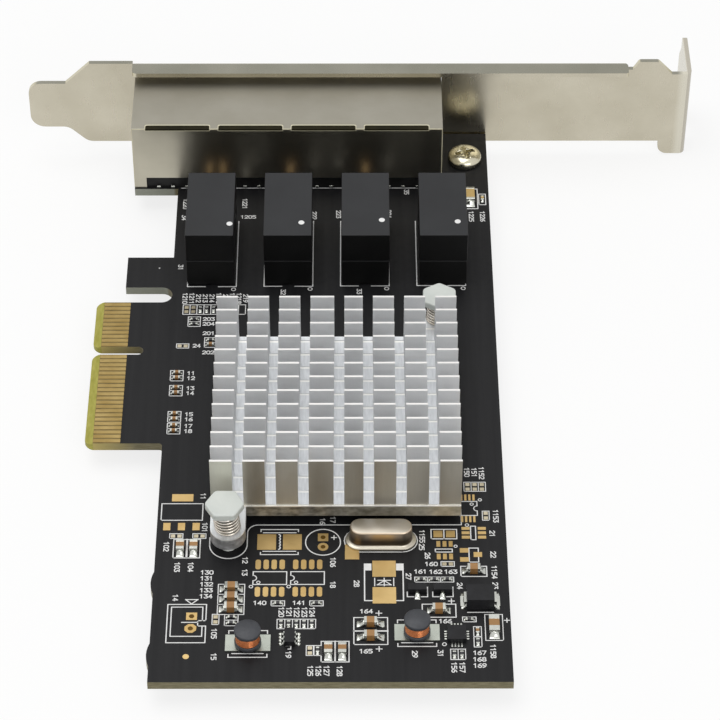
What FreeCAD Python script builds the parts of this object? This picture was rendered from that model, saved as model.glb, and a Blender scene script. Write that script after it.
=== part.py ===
import FreeCAD, Part
import math
import os
from FreeCAD import Rotation, Vector

# Quad-port network interface card, in millimetres.
# Origin: centre line of the edge connector's key notch, at the connector's tip, on the component face.
# +X runs from the edge connector to the card's top edge, +Y towards the bracket,
# +Z out of the component face.

# ---------------------------------------------------------------- driving dimensions
# Printed circuit board
board_thickness = 1.57
bracket_plane_y = 58.0        # bracket's inner face, from the key notch
board_edge_gap = 0.3          # board's far edge to the bracket
jack_strip_x = 5.0            # board's left edge beneath the jack
board_left_x = 12.85
board_right_margin = 8.5      # board beyond the jack's right wall
power_section_depth = 33.0    # heat sink's near edge to the board's near edge
step_y = 42.2                 # far end of the recess beside the magnetics
tab_near_y = 15.9             # retention tab beyond the connector's slot
tab_length = 7.8
tab_x = 4.8
board_corner_r = 0.6
breakaway_height = 0.45       # what is left of the tabs that held the board in its panel
breakaway_length = 4.6
breakaway_offsets = (3.2, 18.0)   # from the board's near edge to each stub's near end

# Edge connector, four lanes
contact_pitch = 1.0
contact_width = 0.7
contact_length = 4.5
contact_inset = 1.4
contact_thickness = 0.05
contacts_far_side = 11
contacts_near_side = 21
key_width = 1.9
key_depth = 8.65
key_contact_offset = 1.5      # key's centre line to the contact on each side
tongue_margin = 0.6           # board beyond the last contact's centre
slot_depth = 13.0
tongue_corner_r = 1.2
bevel_length = 1.35
bevel_depth = 0.42

# Bracket, folded from one sheet
sheet = 0.86
bend_r = 0.3
bracket_tip_x = -14.7
bracket_bend_x = 106.0        # outer face of the top flange
bracket_low_z = -1.9
bracket_top_z = 16.2
foot_low_z = 1.55
foot_high_z = 11.6
foot_length = 6.8
wing_low_z = -4.9
wing_start_x = 100.9
flange_top_z = 13.7
flange_depth = 13.2
flange_notch_w = 4.42
flange_notch_depth = 5.2
lip_start_x = 4.6
lip_end_x = 94.2
lip_depth = 2.85
tab_width = 7.2
tab_reach = 11.9
window_gap = 0.12

# Bracket screw
screw_r = 1.5
screw_head_r = 3.05
screw_head_height = 2.0
screw_length = 4.0
screw_from_right = 3.9        # from the board's right edge
screw_from_bracket = 8.3
screw_hole_gap = 0.2

# Ganged jack
ports = 4
port_pitch = 13.0
jack_side_wall = 1.7
jack_rear_y = 42.5
jack_height = 13.7
jack_protrusion = 1.0         # front face beyond the bracket's outer face
shield_thickness = 0.25
shield_rear_gap = 2.4         # board to the lower edge of the shield's rear face
shield_leg_width = 2.2
shield_slot_length = 11.4
shield_slot_width = 1.0
mouth_width = 11.9
mouth_height = 6.9
mouth_low_z = 5.0
mouth_depth = 13.4
latch_width = 6.2
latch_low_z = 3.4
latch_key_width = 3.3
latch_key_low_z = 2.1
window_low_z = 1.4
window_high_z = 12.4
window_width = 12.3
contact_wire = 0.35
contact_count = 8
wire_pitch = 1.02
wire_rear_gap = 1.3
wire_front_gap = 2.9
wire_tip_z = 9.3
wire_reach = 9.2
channel_gap = 0.15            # housing's rear wall to the wires
tail_length = 0.8             # pins beyond the solder side
lamp_width = 2.3
lamp_height = 1.8
lamp_depth = 6.0
lamp_low_z = 1.9
lamp_offset = 4.55

# Magnetics modules
module_width = 8.3
module_length = 16.7
module_height = 11.5
module_pitch = 13.47
module_from_jack = 9.3        # jack's rear face to the modules' far faces
module_seam_z = 5.6
module_inset = 0.18           # lower half of the case stands back from the upper half

# Heat sink
sink_left_x = 21.65
sink_far_y = -0.86
sink_width = 40.0
sink_low_z = 1.8
sink_base = 2.3
sink_top_z = 13.9
fin_rows = 13
fin_pitch = 3.17
fin_thickness = 0.4           # at the top
fin_taper = 0.2               # each side of a fin, from its top to its root
fin_margin = 0.4              # base beyond the top of the first and last fins
fin_columns = 8
fin_gap = 1.7
centre_gap_shift = 0.45       # the fourth saw cut runs a little to the right
fin_root = 0.1                # height left at the bottom of the cuts
ear_r = 2.8
ear_reach = 4.6
ear_hole_gap = 0.15

# Push pins and their springs
pin_r = 1.35
pin_head_corner_r = 3.15
pin_head_height = 1.25
pin_gap_under_head = 4.1      # room for the spring
pin_barb_r = 1.9
pin_tip_length = 2.2
board_pin_hole_gap = 0.1
spring_wire = 0.42
spring_outer_r = 2.25
spring_turns = 5
spring_sides = 7

# Controller and its pad, beneath the heat sink
chip_size = 17.0
chip_cap_size = 14.0
chip_substrate = 0.6
pad_thickness = 0.35
pad_size = 13.4

# Crystal
crystal_length = 9.9
crystal_width = 3.4
crystal_height = 3.5
crystal_flange_length = 11.35
crystal_flange_width = 4.5
crystal_flange_height = 0.4
crystal_lead = 0.4
crystal_lead_spacing = 4.88

# Drum inductors
drum_r = 2.2
drum_waist_r = 1.1
drum_waist_sides = 8
drum_low_z = 0.25
drum_height = 3.2
drum_disc = 0.75
winding_r = 1.95
clip_span = 7.0
clip_width = 3.3
clip_inner_gap = 2.2

# Chip capacitors and resistors: length, width and height
large_capacitor = (2.0, 1.25, 1.2)
long_capacitor = (3.2, 1.6, 1.3)
small_capacitor = (1.0, 0.52, 0.5)
small_resistor = (1.0, 0.52, 0.34)

# Sides of the small round forms: those seen from outside, and shanks and holes
round_sides = 24
shank_sides = 12

# Bare footprints and the small chips' leads
pad_plating = 0.04
lead_thickness = 0.15

# ---------------------------------------------------------------- what follows from them
tongue_far_y = key_contact_offset + (contacts_far_side - 1) * contact_pitch + tongue_margin
tongue_near_y = -(key_contact_offset + (contacts_near_side - 1) * contact_pitch + tongue_margin)
board_far_y = bracket_plane_y - board_edge_gap
jack_right_x = jack_strip_x + 2 * jack_side_wall + ports * port_pitch
jack_centre_x = (jack_strip_x + jack_right_x) / 2
jack_front_y = bracket_plane_y + sheet + jack_protrusion
board_right_x = jack_right_x + board_right_margin
sink_depth = (fin_rows - 1) * fin_pitch + fin_thickness + 2 * fin_margin
sink_near_y = sink_far_y - sink_depth
sink_centre_x = sink_left_x + sink_width / 2
sink_centre_y = sink_far_y - sink_depth / 2
board_near_y = sink_near_y - power_section_depth
solder_z = -board_thickness
tail_z = solder_z - tail_length
screw_x = board_right_x - screw_from_right
screw_y = bracket_plane_y - screw_from_bracket
module_far_y = jack_rear_y - module_from_jack
module_near_y = module_far_y - module_length
ear_top_z = sink_low_z + sink_base
pin_head_z = ear_top_z + pin_gap_under_head
ear_places = [
    (sink_left_x + ear_r, sink_near_y - ear_reach, -1),
    (sink_left_x + sink_width - ear_r, sink_far_y + ear_reach, 1),
]
housing_front_y = jack_front_y - shield_thickness
housing_rear_y = jack_rear_y + shield_thickness
housing_top_z = jack_height - shield_thickness
wire_top_z = mouth_low_z + mouth_height + 0.5
wire_front_y = housing_front_y - wire_front_gap
wire_rear_y = housing_rear_y + wire_rear_gap
spring_mean_r = spring_outer_r - spring_wire / 2

# Where the parts of the power section stand: x from the board's left edge, y from the heat sink's near edge
CRYSTAL = (35.95, -3.75)
INDUCTORS = [(15.2, -25.3), (41.4, -23.2)]
LARGE_CAPACITORS = [
    (3.95, -5.45, 90), (6.1, -5.45, 90),
    (12.35, -14.1, 0), (12.35, -16.2, 0), (12.35, -18.3, 0),
    (34.2, -21.35, 0), (34.2, -24.1, 0),
    (44.9, -18.6, 0), (50.6, -10.3, 0),
    (27.65, -26.9, 90), (29.8, -26.9, 90),
]
LONG_CAPACITORS = [(53.4, -22.0, 90)]
NEAR_RESISTORS = [
    (12.5, -19.9, 0), (12.5, -21.1, 0),
    (20.25, -21.3, 90), (21.45, -21.3, 90), (22.65, -21.3, 90), (23.85, -21.3, 90), (25.05, -21.3, 90),
    (19.7, -17.05, 0), (25.75, -17.05, 0), (26.0, -26.7, 90),
    (42.25, -12.1, 0), (44.3, -12.1, 0), (46.35, -12.1, 0),
    (49.6, -20.4, 0), (47.1, -27.5, 90), (48.25, -27.5, 90), (50.8, -25.0, 90),
]
NEAR_SMALL_CAPACITORS = [(50.8, -22.9, 90)]
TRANSISTORS = [(41.6, -14.4), (45.6, -14.4)]
DIODE = (51.4, -16.75)
AMPLIFIER = (21.65, -24.4)
CONVERTER = (47.55, -23.65)
HEADER_HOLES = [(6.2, -19.7), (6.2, -22.1)]
CAN_CAPACITOR_HOLES = [(26.7, -3.05), (26.7, -5.1)]

# Beside the edge connector: x from the board's left edge, y from the key notch
LANE_CAPACITORS = [(1.75, y, 0) for y in (-5.5, -6.75, -9.1, -10.35, -15.3, -16.55, -18.05, -19.3)]
LANE_RESISTORS = [
    (5.15, 10.25, 90), (6.25, 10.25, 90), (7.45, 10.25, 90),
    (4.2, 7.8, 0), (4.2, 6.6, 0), (7.2, 2.6, 0),
]
SENSE_CAPACITOR = (7.2, 1.4, 0)

# Beside the magnetics: x from the board's right edge, y from the modules' far faces
EDGE_LONG_CAPACITOR = (-3.4, 6.4, 90)
EDGE_SMALL_CAPACITOR = (-1.2, 6.1, 90)

# Large bare pads of footprints left empty in the power section: centre, then size along x and y
POWER_PADS = [
    (3.9, 5.65, 3.45, 1.6), (1.6, -0.7, 1.15, 1.6), (3.95, -0.7, 1.15, 1.6), (6.3, -0.7, 1.15, 1.6),
    (17.7, -4.05, 3.0, 3.35), (21.8, -4.05, 3.0, 3.35),
    (31.2, -6.9, 2.0, 1.7),
    (36.4, -9.8, 3.7, 3.4), (36.4, -15.4, 3.7, 3.4),
    (45.1, -2.35, 1.45, 1.45), (47.1, -2.35, 1.45, 1.45),
    (49.2, -5.9, 1.4, 0.95), (49.2, -7.85, 1.4, 0.95), (51.35, -6.8, 1.35, 1.05),
]


# ---------------------------------------------------------------- building blocks
def block(x, y, z):
    """Box between two values on each axis."""
    size = (x[1] - x[0], y[1] - y[0], z[1] - z[0])
    return Part.makeBox(size[0], size[1], size[2], Vector(x[0], y[0], z[0]))


def centred(x, y, size_x, size_y, z):
    """Box about a point of the board, between two heights."""
    return block((x - size_x / 2, x + size_x / 2), (y - size_y / 2, y + size_y / 2), z)


def disc(x, y, radius, z):
    """Upright cylinder between two heights."""
    return Part.makeCylinder(radius, z[1] - z[0], Vector(x, y, z[0]))


def prism(low_r, high_r, sides, z):
    """Regular prism about the origin, between two heights and from one corner radius to another."""
    rings = []
    for radius, height in ((low_r, z[0]), (high_r, z[1])):
        angles = [2 * math.pi * i / sides for i in range(sides + 1)]
        rings.append(Part.makePolygon([Vector(radius * math.cos(a), radius * math.sin(a), height)
                                       for a in angles]))
    return Part.makeLoft(rings, True, True)


def hole(x, y, radius, z):
    """Small round hole's tool, between two heights."""
    return turned(prism(radius, radius, shank_sides, z), x, y, 0)


def outline(corners):
    """Closed wire through (u, v, radius) corners, each rounded with an arc where its radius is above zero."""
    runs = []
    for i, (u, v, radius) in enumerate(corners):
        here = Vector(u, v, 0)
        before = corners[i - 1]
        after = corners[(i + 1) % len(corners)]
        back = (Vector(before[0], before[1], 0) - here).normalize()
        ahead = (Vector(after[0], after[1], 0) - here).normalize()
        if radius > 0:
            half = math.acos(max(-1.0, min(1.0, back.dot(ahead)))) / 2
            reach = radius / math.tan(half)
            towards = (back + ahead).normalize()
            middle = here + towards * (radius / math.sin(half) - radius)
            runs.append((here + back * reach, middle, here + ahead * reach))
        else:
            runs.append((here, None, here))
    edges = []
    for i, (start, middle, end) in enumerate(runs):
        if middle:
            edges.append(Part.Arc(start, middle, end).toShape())
        following = runs[(i + 1) % len(runs)][0]
        if (following - end).Length > 1e-6:
            edges.append(Part.makeLine(end, following))
    return Part.Wire(edges)


def plate(corners, low, high):
    """Plate in the board's plane, between two heights."""
    solid = Part.Face(outline(corners)).extrude(Vector(0, 0, high - low))
    solid.translate(Vector(0, 0, low))
    return solid


def upright_plate(corners, low, high):
    """Plate whose outline is given in X and Z, between two values of Y."""
    solid = plate(corners, -high, -low)
    solid.rotate(Vector(0, 0, 0), Vector(1, 0, 0), 90)
    return solid


def side_profile(corners, low, high):
    """Section given in Y and Z, drawn out between two values of X."""
    solid = plate(corners, low, high)
    solid.rotate(Vector(0, 0, 0), Vector(1, 1, 1), 120)
    return solid


def fused(solids):
    """One solid from pieces that overlap or share faces."""
    whole = solids[0].multiFuse(solids[1:]) if len(solids) > 1 else solids[0]
    return whole.removeSplitter()


def power(x, y):
    """Place in the power section as a point of the card."""
    return board_left_x + x, sink_near_y + y


def lane(x, y):
    """Place beside the edge connector as a point of the card."""
    return board_left_x + x, y


def edge(x, y):
    """Place beside the magnetics as a point of the card."""
    return board_right_x + x, module_far_y + y


def turned(solid, x, y, angle):
    """Solid built about the origin, turned about Z and moved to a point of the card."""
    moved = solid.copy()
    moved.rotate(Vector(0, 0, 0), Vector(0, 0, 1), angle)
    moved.translate(Vector(x, y, 0))
    return moved


def export(name, shapes):
    """One STEP file a node; a group is a compound of separate solids."""
    solids = [solid for shape in shapes for solid in shape.Solids]
    whole = solids[0] if len(solids) == 1 else Part.makeCompound(solids)
    whole.exportStep("parts/" + name + ".step")


# ---------------------------------------------------------------- ports
def port_centres():
    """X of each port's centre line."""
    first = jack_centre_x - (ports - 1) / 2 * port_pitch
    return [first + i * port_pitch for i in range(ports)]


def wire_places():
    """X of every contact wire of the jack."""
    first = -(contact_count - 1) / 2 * wire_pitch
    return [x + first + i * wire_pitch for x in port_centres() for i in range(contact_count)]


def mouth(x):
    """Outline of one port's mouth in X and Z, with the steps that the plug's latch runs in."""
    high = mouth_low_z + mouth_height
    half, latch, key = mouth_width / 2, latch_width / 2, latch_key_width / 2
    right = [(key, latch_key_low_z), (key, latch_low_z), (latch, latch_low_z), (latch, mouth_low_z),
             (half, mouth_low_z), (half, high)]
    left = [(-u, v) for u, v in reversed(right)]
    return [(x + u, v, 0) for u, v in right + left]


def make_housing():
    """Plastic body of the jack: four mouths, a channel for the wires and pockets for the lamps."""
    body = block((jack_strip_x + shield_thickness, jack_right_x - shield_thickness),
                 (housing_rear_y, housing_front_y), (0, housing_top_z))
    cuts = []
    half_comb = ((contact_count - 1) * wire_pitch + contact_wire) / 2 + 0.2
    for x in port_centres():
        across = (x - half_comb, x + half_comb)
        cuts.append(upright_plate(mouth(x), housing_front_y - mouth_depth, housing_front_y + 1))
        channel_y = wire_rear_y - channel_gap
        cuts.append(block(across, (channel_y, wire_front_y + 0.3), (wire_top_z, housing_top_z)))
        cuts.append(block(across, (channel_y, wire_rear_y + contact_wire), (0, housing_top_z)))
        cuts.append(block(across, (wire_front_y - 1.8, wire_front_y + 0.3), (mouth_low_z + 1, housing_top_z)))
        for side in (-1, 1):
            cuts.append(centred(x + side * lamp_offset, housing_front_y - lamp_depth / 2, lamp_width,
                                lamp_depth, (lamp_low_z, lamp_low_z + lamp_height)))
    return body.cut(Part.makeCompound(cuts)).removeSplitter()


def make_shield():
    """Folded tin shield: top, sides, rear with its slots, and a front frame with four windows."""
    shell = block((jack_strip_x, jack_right_x), (jack_rear_y, jack_front_y), (0, jack_height))
    inside = block((jack_strip_x + shield_thickness, jack_right_x - shield_thickness),
                   (housing_rear_y, housing_front_y), (-1, housing_top_z))
    rear_edge = block((jack_strip_x + shield_leg_width, jack_right_x - shield_leg_width),
                      (jack_rear_y - 1, housing_rear_y), (-1, shield_rear_gap))
    cuts = [inside, rear_edge]
    slot_y = jack_rear_y + shield_thickness + shield_slot_width / 2
    for x in port_centres():
        cuts.append(centred(x, slot_y, shield_slot_length, shield_slot_width,
                            (housing_top_z - 0.1, jack_height + 1)))
        cuts.append(block((x - window_width / 2, x + window_width / 2),
                          (housing_front_y - 0.1, jack_front_y + 1), (window_low_z, window_high_z)))
    return shell.cut(Part.makeCompound(cuts))


def make_wire(x):
    """One contact: sprung tip in the mouth, run over the port and tail through the board."""
    w = contact_wire
    tip_y = wire_front_y - wire_reach
    corners = [
        (wire_rear_y, tail_z, 0), (wire_rear_y + w, tail_z, 0),
        (wire_rear_y + w, wire_top_z, 0), (wire_front_y - w, wire_top_z, 0),
        (tip_y, wire_tip_z, 0), (wire_front_y, wire_top_z - w, 0),
        (wire_front_y, wire_top_z + w, 0), (wire_rear_y, wire_top_z + w, 0),
    ]
    return side_profile(corners, x - w / 2, x + w / 2)


def make_lamps():
    """Light windows either side of each latch."""
    return [centred(x + side * lamp_offset, housing_front_y - lamp_depth / 2, lamp_width, lamp_depth,
                    (lamp_low_z, lamp_low_z + lamp_height))
            for x in port_centres() for side in (-1, 1)]


# ---------------------------------------------------------------- board
def board_outline():
    """Edge of the board, from its far right corner against the clock."""
    half_key = key_width / 2
    half_slot = (tab_near_y - tongue_far_y) / 2
    return [
        (board_right_x, board_far_y, 0), (jack_strip_x, board_far_y, 0),
        (jack_strip_x, step_y, 0), (board_left_x, step_y, 0),
        (board_left_x, tab_near_y + tab_length, 0), (tab_x, tab_near_y + tab_length, 0),
        (tab_x, tab_near_y, 0), (slot_depth, tab_near_y, half_slot), (slot_depth, tongue_far_y, half_slot),
        (0, tongue_far_y, tongue_corner_r), (0, half_key, tongue_corner_r),
        (key_depth, half_key, half_key), (key_depth, -half_key, half_key),
        (0, -half_key, tongue_corner_r), (0, tongue_near_y, tongue_corner_r),
        (board_left_x, tongue_near_y, board_corner_r),
        (board_left_x, board_near_y, 0), (board_right_x, board_near_y, 0),
    ]


def breakaway(offset):
    """Rounded stub on the left edge."""
    low = board_near_y + offset
    start = Vector(board_left_x, low, solder_z)
    end = Vector(board_left_x, low + breakaway_length, solder_z)
    middle = Vector(board_left_x - breakaway_height, low + breakaway_length / 2, solder_z)
    wire = Part.Wire([Part.Arc(start, middle, end).toShape(), Part.makeLine(end, start)])
    return Part.Face(wire).extrude(Vector(0, 0, board_thickness))


def bevel(face_z, outward):
    """Wedge that bevels one face of the connector's tip."""
    corners = [(-1, face_z + outward, 0), (-1, face_z - outward * bevel_depth * (1 + 1 / bevel_length), 0),
               (bevel_length, face_z, 0), (bevel_length, face_z + outward, 0)]
    return upright_plate(corners, tongue_near_y - 1, tongue_far_y + 1)


def make_board():
    """Laminate with its connector tongue, key notch, slots and holes."""
    board = plate(board_outline(), solder_z, 0)
    board = board.multiFuse([breakaway(offset) for offset in breakaway_offsets])
    through = (solder_z - 1, 1)
    cuts = [bevel(0, 1), bevel(solder_z, -1), hole(screw_x, screw_y, screw_r + screw_hole_gap, through)]
    cuts += [hole(x, y, pin_r + board_pin_hole_gap, through) for x, y, side in ear_places]
    for x in wire_places():
        cuts.append(block((x - contact_wire / 2, x + contact_wire / 2),
                          (wire_rear_y, wire_rear_y + contact_wire), through))
    for x, y in HEADER_HOLES:
        cuts.append(hole(*power(x, y), 0.5, through))
    for x, y in CAN_CAPACITOR_HOLES:
        cuts.append(hole(*power(x, y), 0.4, through))
    for x, y in crystal_lead_places():
        cuts.append(centred(x, y, crystal_lead, crystal_lead, through))
    return board.cut(Part.makeCompound(cuts)).removeSplitter()


def make_edge_contacts():
    """Gold contacts on both faces of the tongue."""
    far_side = [key_contact_offset + i * contact_pitch for i in range(contacts_far_side)]
    near_side = [-key_contact_offset - i * contact_pitch for i in range(contacts_near_side)]
    x = contact_inset + contact_length / 2
    faces = [(0, contact_thickness), (solder_z - contact_thickness, solder_z)]
    return [centred(x, y, contact_length, contact_width, z) for y in far_side + near_side for z in faces]


def pad(x, y, size_x, size_y):
    """Plated pad on the component face."""
    return centred(x, y, size_x, size_y, (0, pad_plating))


def make_bare_pads():
    """Large pads of the power footprints that carry no part."""
    return [pad(*power(x, y), size_x, size_y) for x, y, size_x, size_y in POWER_PADS]


# ---------------------------------------------------------------- bracket
def make_bracket():
    """Folded steel bracket: foot, plate with the jack's window, lip, mounting tab and slotted top flange."""
    inner, outer = bracket_plane_y, bracket_plane_y + sheet
    far_x = bracket_bend_x
    lip_root_z = bracket_top_z - 2.4
    hump_z = bracket_top_z + 0.35
    relief_z = bracket_top_z - 1.4
    neck = foot_length + bracket_tip_x
    rise = bracket_top_z - foot_high_z
    drop = foot_low_z - bracket_low_z
    corners = [
        (bracket_tip_x, foot_low_z, 2.6), (neck, foot_low_z, 2.4), (neck + drop, bracket_low_z, 2.4),
        (wing_start_x, bracket_low_z, 0), (wing_start_x, wing_low_z, 1.8), (far_x, wing_low_z, 0),
        (far_x, flange_top_z, 0), (far_x - 3.6, flange_top_z, 0), (far_x - 6.2, hump_z, 0.8),
        (lip_end_x + 2.1, hump_z, 0.6), (lip_end_x + 1.1, relief_z, 0.3), (lip_end_x, relief_z, 0),
        (lip_end_x, lip_root_z, 0), (lip_start_x, lip_root_z, 0),
        (lip_start_x, bracket_top_z, 0), (neck + rise, bracket_top_z, 0), (neck, foot_high_z, 0),
        (bracket_tip_x, foot_high_z, 2.4),
    ]
    folded = side_bend(inner, outer, far_x)
    front = upright_plate(corners, inner - 1, outer)
    flange = side_profile(flange_corners(inner, outer), far_x - sheet, far_x)
    body = folded.common(front.fuse(flange).fuse(block((far_x - 3, far_x), (inner, outer + 2),
                                                       (wing_low_z, flange_top_z))))
    lip = side_profile([
        (outer, lip_root_z, 0), (outer, bracket_top_z, bend_r + sheet), (inner - lip_depth, bracket_top_z, 0),
        (inner - lip_depth, bracket_top_z - sheet, 0), (inner, bracket_top_z - sheet, bend_r),
        (inner, lip_root_z, 0)], lip_start_x, lip_end_x)
    lip_plan = plate([(lip_start_x, outer, 0), (lip_start_x, inner - lip_depth, 0.8),
                      (lip_end_x, inner - lip_depth, 0.5), (lip_end_x, outer - 1.3, 0),
                      (lip_end_x - 0.7, outer, 0)], lip_root_z, bracket_top_z)
    tab_z = solder_z - sheet
    tab = side_profile([
        (outer, bracket_low_z + 3, 0), (inner, bracket_low_z + 3, 0), (inner, solder_z, bend_r - 0.06),
        (inner - tab_reach, solder_z, 0), (inner - tab_reach, tab_z, 0), (outer, tab_z, bend_r + sheet)],
        screw_x - tab_width / 2, screw_x + tab_width / 2)
    body = fused([body, lip.common(lip_plan), tab])
    window = block((jack_strip_x - window_gap, jack_right_x + window_gap), (inner - 1, outer + 1),
                   (-window_gap, jack_height + window_gap))
    thread = hole(screw_x, screw_y, screw_r, (tab_z - 1, solder_z + 1))
    return body.cut(Part.makeCompound([window, thread])).removeSplitter()


def side_bend(inner, outer, far_x):
    """Plate and top flange as one bent sheet, drawn out along Z."""
    end = bracket_plane_y + flange_depth
    section = [
        (bracket_tip_x, outer, 0), (bracket_tip_x, inner, 0), (far_x, inner, bend_r + sheet),
        (far_x, end, 0), (far_x - sheet, end, 0), (far_x - sheet, outer, bend_r),
    ]
    return plate(section, wing_low_z, bracket_top_z + 2)


def flange_corners(inner, outer):
    """Top flange in Y and Z, with a stepped far corner and the open notch for the chassis screw."""
    end = bracket_plane_y + flange_depth
    middle = (outer + end) / 2
    half = flange_notch_w / 2
    notch_z = wing_low_z + flange_notch_depth
    return [
        (inner, flange_top_z, 0), (end - 2.0, flange_top_z, 0.6), (end - 2.0, 11.0, 0), (end, 8.2, 0),
        (end, wing_low_z, 1.0), (middle + half, wing_low_z, 0), (middle + half, notch_z, half),
        (middle - half, notch_z, half), (middle - half, wing_low_z, 0), (inner, wing_low_z, 0),
    ]


def make_screw():
    """Machine screw with a domed head."""
    rim_z = screw_head_height / 2
    rim = prism(screw_head_r, screw_head_r, round_sides, (0, rim_z))
    dome = prism(screw_head_r, screw_head_r * 0.62, round_sides, (rim_z, screw_head_height))
    shank = prism(screw_r, screw_r, shank_sides, (-screw_length, 0))
    return turned(fused([rim, dome, shank]), screw_x, screw_y, 0)


# ---------------------------------------------------------------- magnetics
def module_centres():
    """X of each magnetics module, about the jack's centre line."""
    first = jack_centre_x + 7.15 - (ports - 1) / 2 * module_pitch
    return [first + i * module_pitch for i in range(ports)]


def make_module(x):
    """Magnetics case, its lower half a little narrower than the cover above the seam."""
    y = (module_near_y + module_far_y) / 2
    cover = centred(x, y, module_width, module_length, (module_seam_z, module_height))
    base = centred(x, y, module_width - 2 * module_inset, module_length - 2 * module_inset,
                   (0, module_seam_z))
    return fused([base, cover])


# ---------------------------------------------------------------- cooling
def fin_spans():
    """X range of each column of fins."""
    width = (sink_width - (fin_columns - 1) * fin_gap) / fin_columns
    spans = []
    for i in range(fin_columns):
        low = sink_left_x + i * (width + fin_gap)
        spans.append([low, low + width])
    middle = fin_columns // 2
    spans[middle - 1][1] += centre_gap_shift
    spans[middle][0] += centre_gap_shift
    return spans


def make_sink():
    """Extruded heat sink with tapered fins, sawn across, and an ear at two opposite corners."""
    section = [(sink_far_y, ear_top_z, 0), (sink_far_y, sink_low_z, 0), (sink_near_y, sink_low_z, 0),
               (sink_near_y, ear_top_z, 0)]
    for i in range(fin_rows):
        near = sink_near_y + fin_margin + i * fin_pitch
        far = near + fin_thickness
        section += [(near - fin_taper, ear_top_z, 0), (near, sink_top_z, 0), (far, sink_top_z, 0),
                    (far + fin_taper, ear_top_z, 0)]
    body = side_profile(section, sink_left_x, sink_left_x + sink_width)
    spans = fin_spans()
    cuts = [block((left[1], right[0]), (sink_near_y - 1, sink_far_y + 1),
                  (ear_top_z + fin_root, sink_top_z + 1)) for left, right in zip(spans, spans[1:])]
    ears = []
    for x, y, side in ear_places:
        root = sink_near_y if side < 0 else sink_far_y
        ears.append(block((x - ear_r, x + ear_r), sorted((root - side, y)), (sink_low_z, ear_top_z)))
        ears.append(disc(x, y, ear_r, (sink_low_z, ear_top_z)))
        cuts.append(hole(x, y, pin_r + ear_hole_gap, (sink_low_z - 1, ear_top_z + 1)))
    return fused([body] + ears).cut(Part.makeCompound(cuts))


def make_push_pin(x, y, side):
    """Hexagonal head, shank and a barbed tip that snaps through the board."""
    head = prism(pin_head_corner_r, pin_head_corner_r, 6, (pin_head_z, pin_head_z + pin_head_height))
    shank = prism(pin_r, pin_r, shank_sides, (solder_z, pin_head_z))
    tip = prism(pin_r * 0.5, pin_barb_r, shank_sides, (solder_z - pin_tip_length, solder_z))
    return turned(fused([head, shank, tip]), x, y, 0 if side < 0 else 30)


def make_spring(x, y):
    """Coil between an ear and its pin's head: short straight stretches of square wire along a helix."""
    rise = pin_gap_under_head - spring_wire
    steps = spring_turns * spring_sides
    half = spring_wire / 2
    corners = [(-half, -half), (half, -half), (half, half), (-half, half)]
    rings = []
    for i in range(steps + 1):
        angle = 2 * math.pi * i / spring_sides
        middle = Vector(x, y, ear_top_z + half + rise * i / steps)
        outwards = Vector(math.cos(angle), math.sin(angle), 0)
        rings.append([middle + outwards * (spring_mean_r + u) + Vector(0, 0, v) for u, v in corners])
    facets = []
    for here, there in zip(rings, rings[1:]):
        for i in range(4):
            j = (i + 1) % 4
            facets += [(here[i], here[j], there[j]), (here[i], there[j], there[i])]
    for end in (rings[0][::-1], rings[-1]):
        facets += [(end[0], end[1], end[2]), (end[0], end[2], end[3])]
    shell = Part.makeShell([Part.Face(Part.makePolygon([a, b, c, a])) for a, b, c in facets])
    shell.sewShape()
    return Part.Solid(shell)


def make_controller():
    """Controller package: substrate with a moulded cap."""
    cap_z = sink_low_z - pad_thickness
    substrate = centred(sink_centre_x, sink_centre_y, chip_size, chip_size, (0, chip_substrate))
    cap = centred(sink_centre_x, sink_centre_y, chip_cap_size, chip_cap_size, (chip_substrate, cap_z))
    return fused([substrate, cap])


def make_thermal_pad():
    """Soft pad between the controller and the heat sink."""
    return centred(sink_centre_x, sink_centre_y, pad_size, pad_size, (sink_low_z - pad_thickness, sink_low_z))


# ---------------------------------------------------------------- single parts
def stadium(length, width, low, high):
    """Round-ended bar about the origin."""
    half, r = length / 2, width / 2
    return plate([(-half, -r, r), (half, -r, r), (half, r, r), (-half, r, r)], low, high)


def crystal_lead_places():
    """Both leads of the crystal."""
    x, y = power(*CRYSTAL)
    return [(x - crystal_lead_spacing / 2, y), (x + crystal_lead_spacing / 2, y)]


def make_crystal():
    """Drawn metal can with its welded flange."""
    can = stadium(crystal_length, crystal_width, crystal_flange_height, crystal_height)
    flange = stadium(crystal_flange_length, crystal_flange_width, 0, crystal_flange_height)
    return turned(fused([can, flange]), *power(*CRYSTAL), 0)


def make_drum(x, y):
    """Ferrite drum: two round discs on a waist."""
    top = drum_low_z + drum_height
    waist = prism(drum_waist_r, drum_waist_r, drum_waist_sides, (drum_low_z, top))
    heights = ((drum_low_z, drum_low_z + drum_disc), (top - drum_disc, top))
    discs = [prism(drum_r, drum_r, round_sides, z) for z in heights]
    return turned(fused([waist] + discs), x, y, 0)


def make_winding(x, y):
    """Copper winding between the drum's discs."""
    z = (drum_low_z + drum_disc, drum_low_z + drum_height - drum_disc)
    turns = prism(winding_r, winding_r, 2 * drum_waist_sides, z)
    waist = prism(drum_waist_r, drum_waist_r, drum_waist_sides, (z[0] - 1, z[1] + 1))
    return turned(turns.cut(waist), x, y, 0)


def make_clips(x, y):
    """Two tinned terminals that the drum stands on."""
    length = (clip_span - clip_inner_gap) / 2
    middle = (clip_span + clip_inner_gap) / 4
    return [centred(x + side * middle, y, length, clip_width, (0, drum_low_z)) for side in (-1, 1)]


def chip_parts(size, places):
    """Chip capacitors or resistors, each a fired block that stands on the board."""
    length, width, height = size
    return [turned(centred(0, 0, length, width, (0, height)), x, y, angle) for x, y, angle in places]


def at(place, items):
    """Places with an angle, as points of the card."""
    return [(*place(x, y), angle) for x, y, angle in items]


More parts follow.
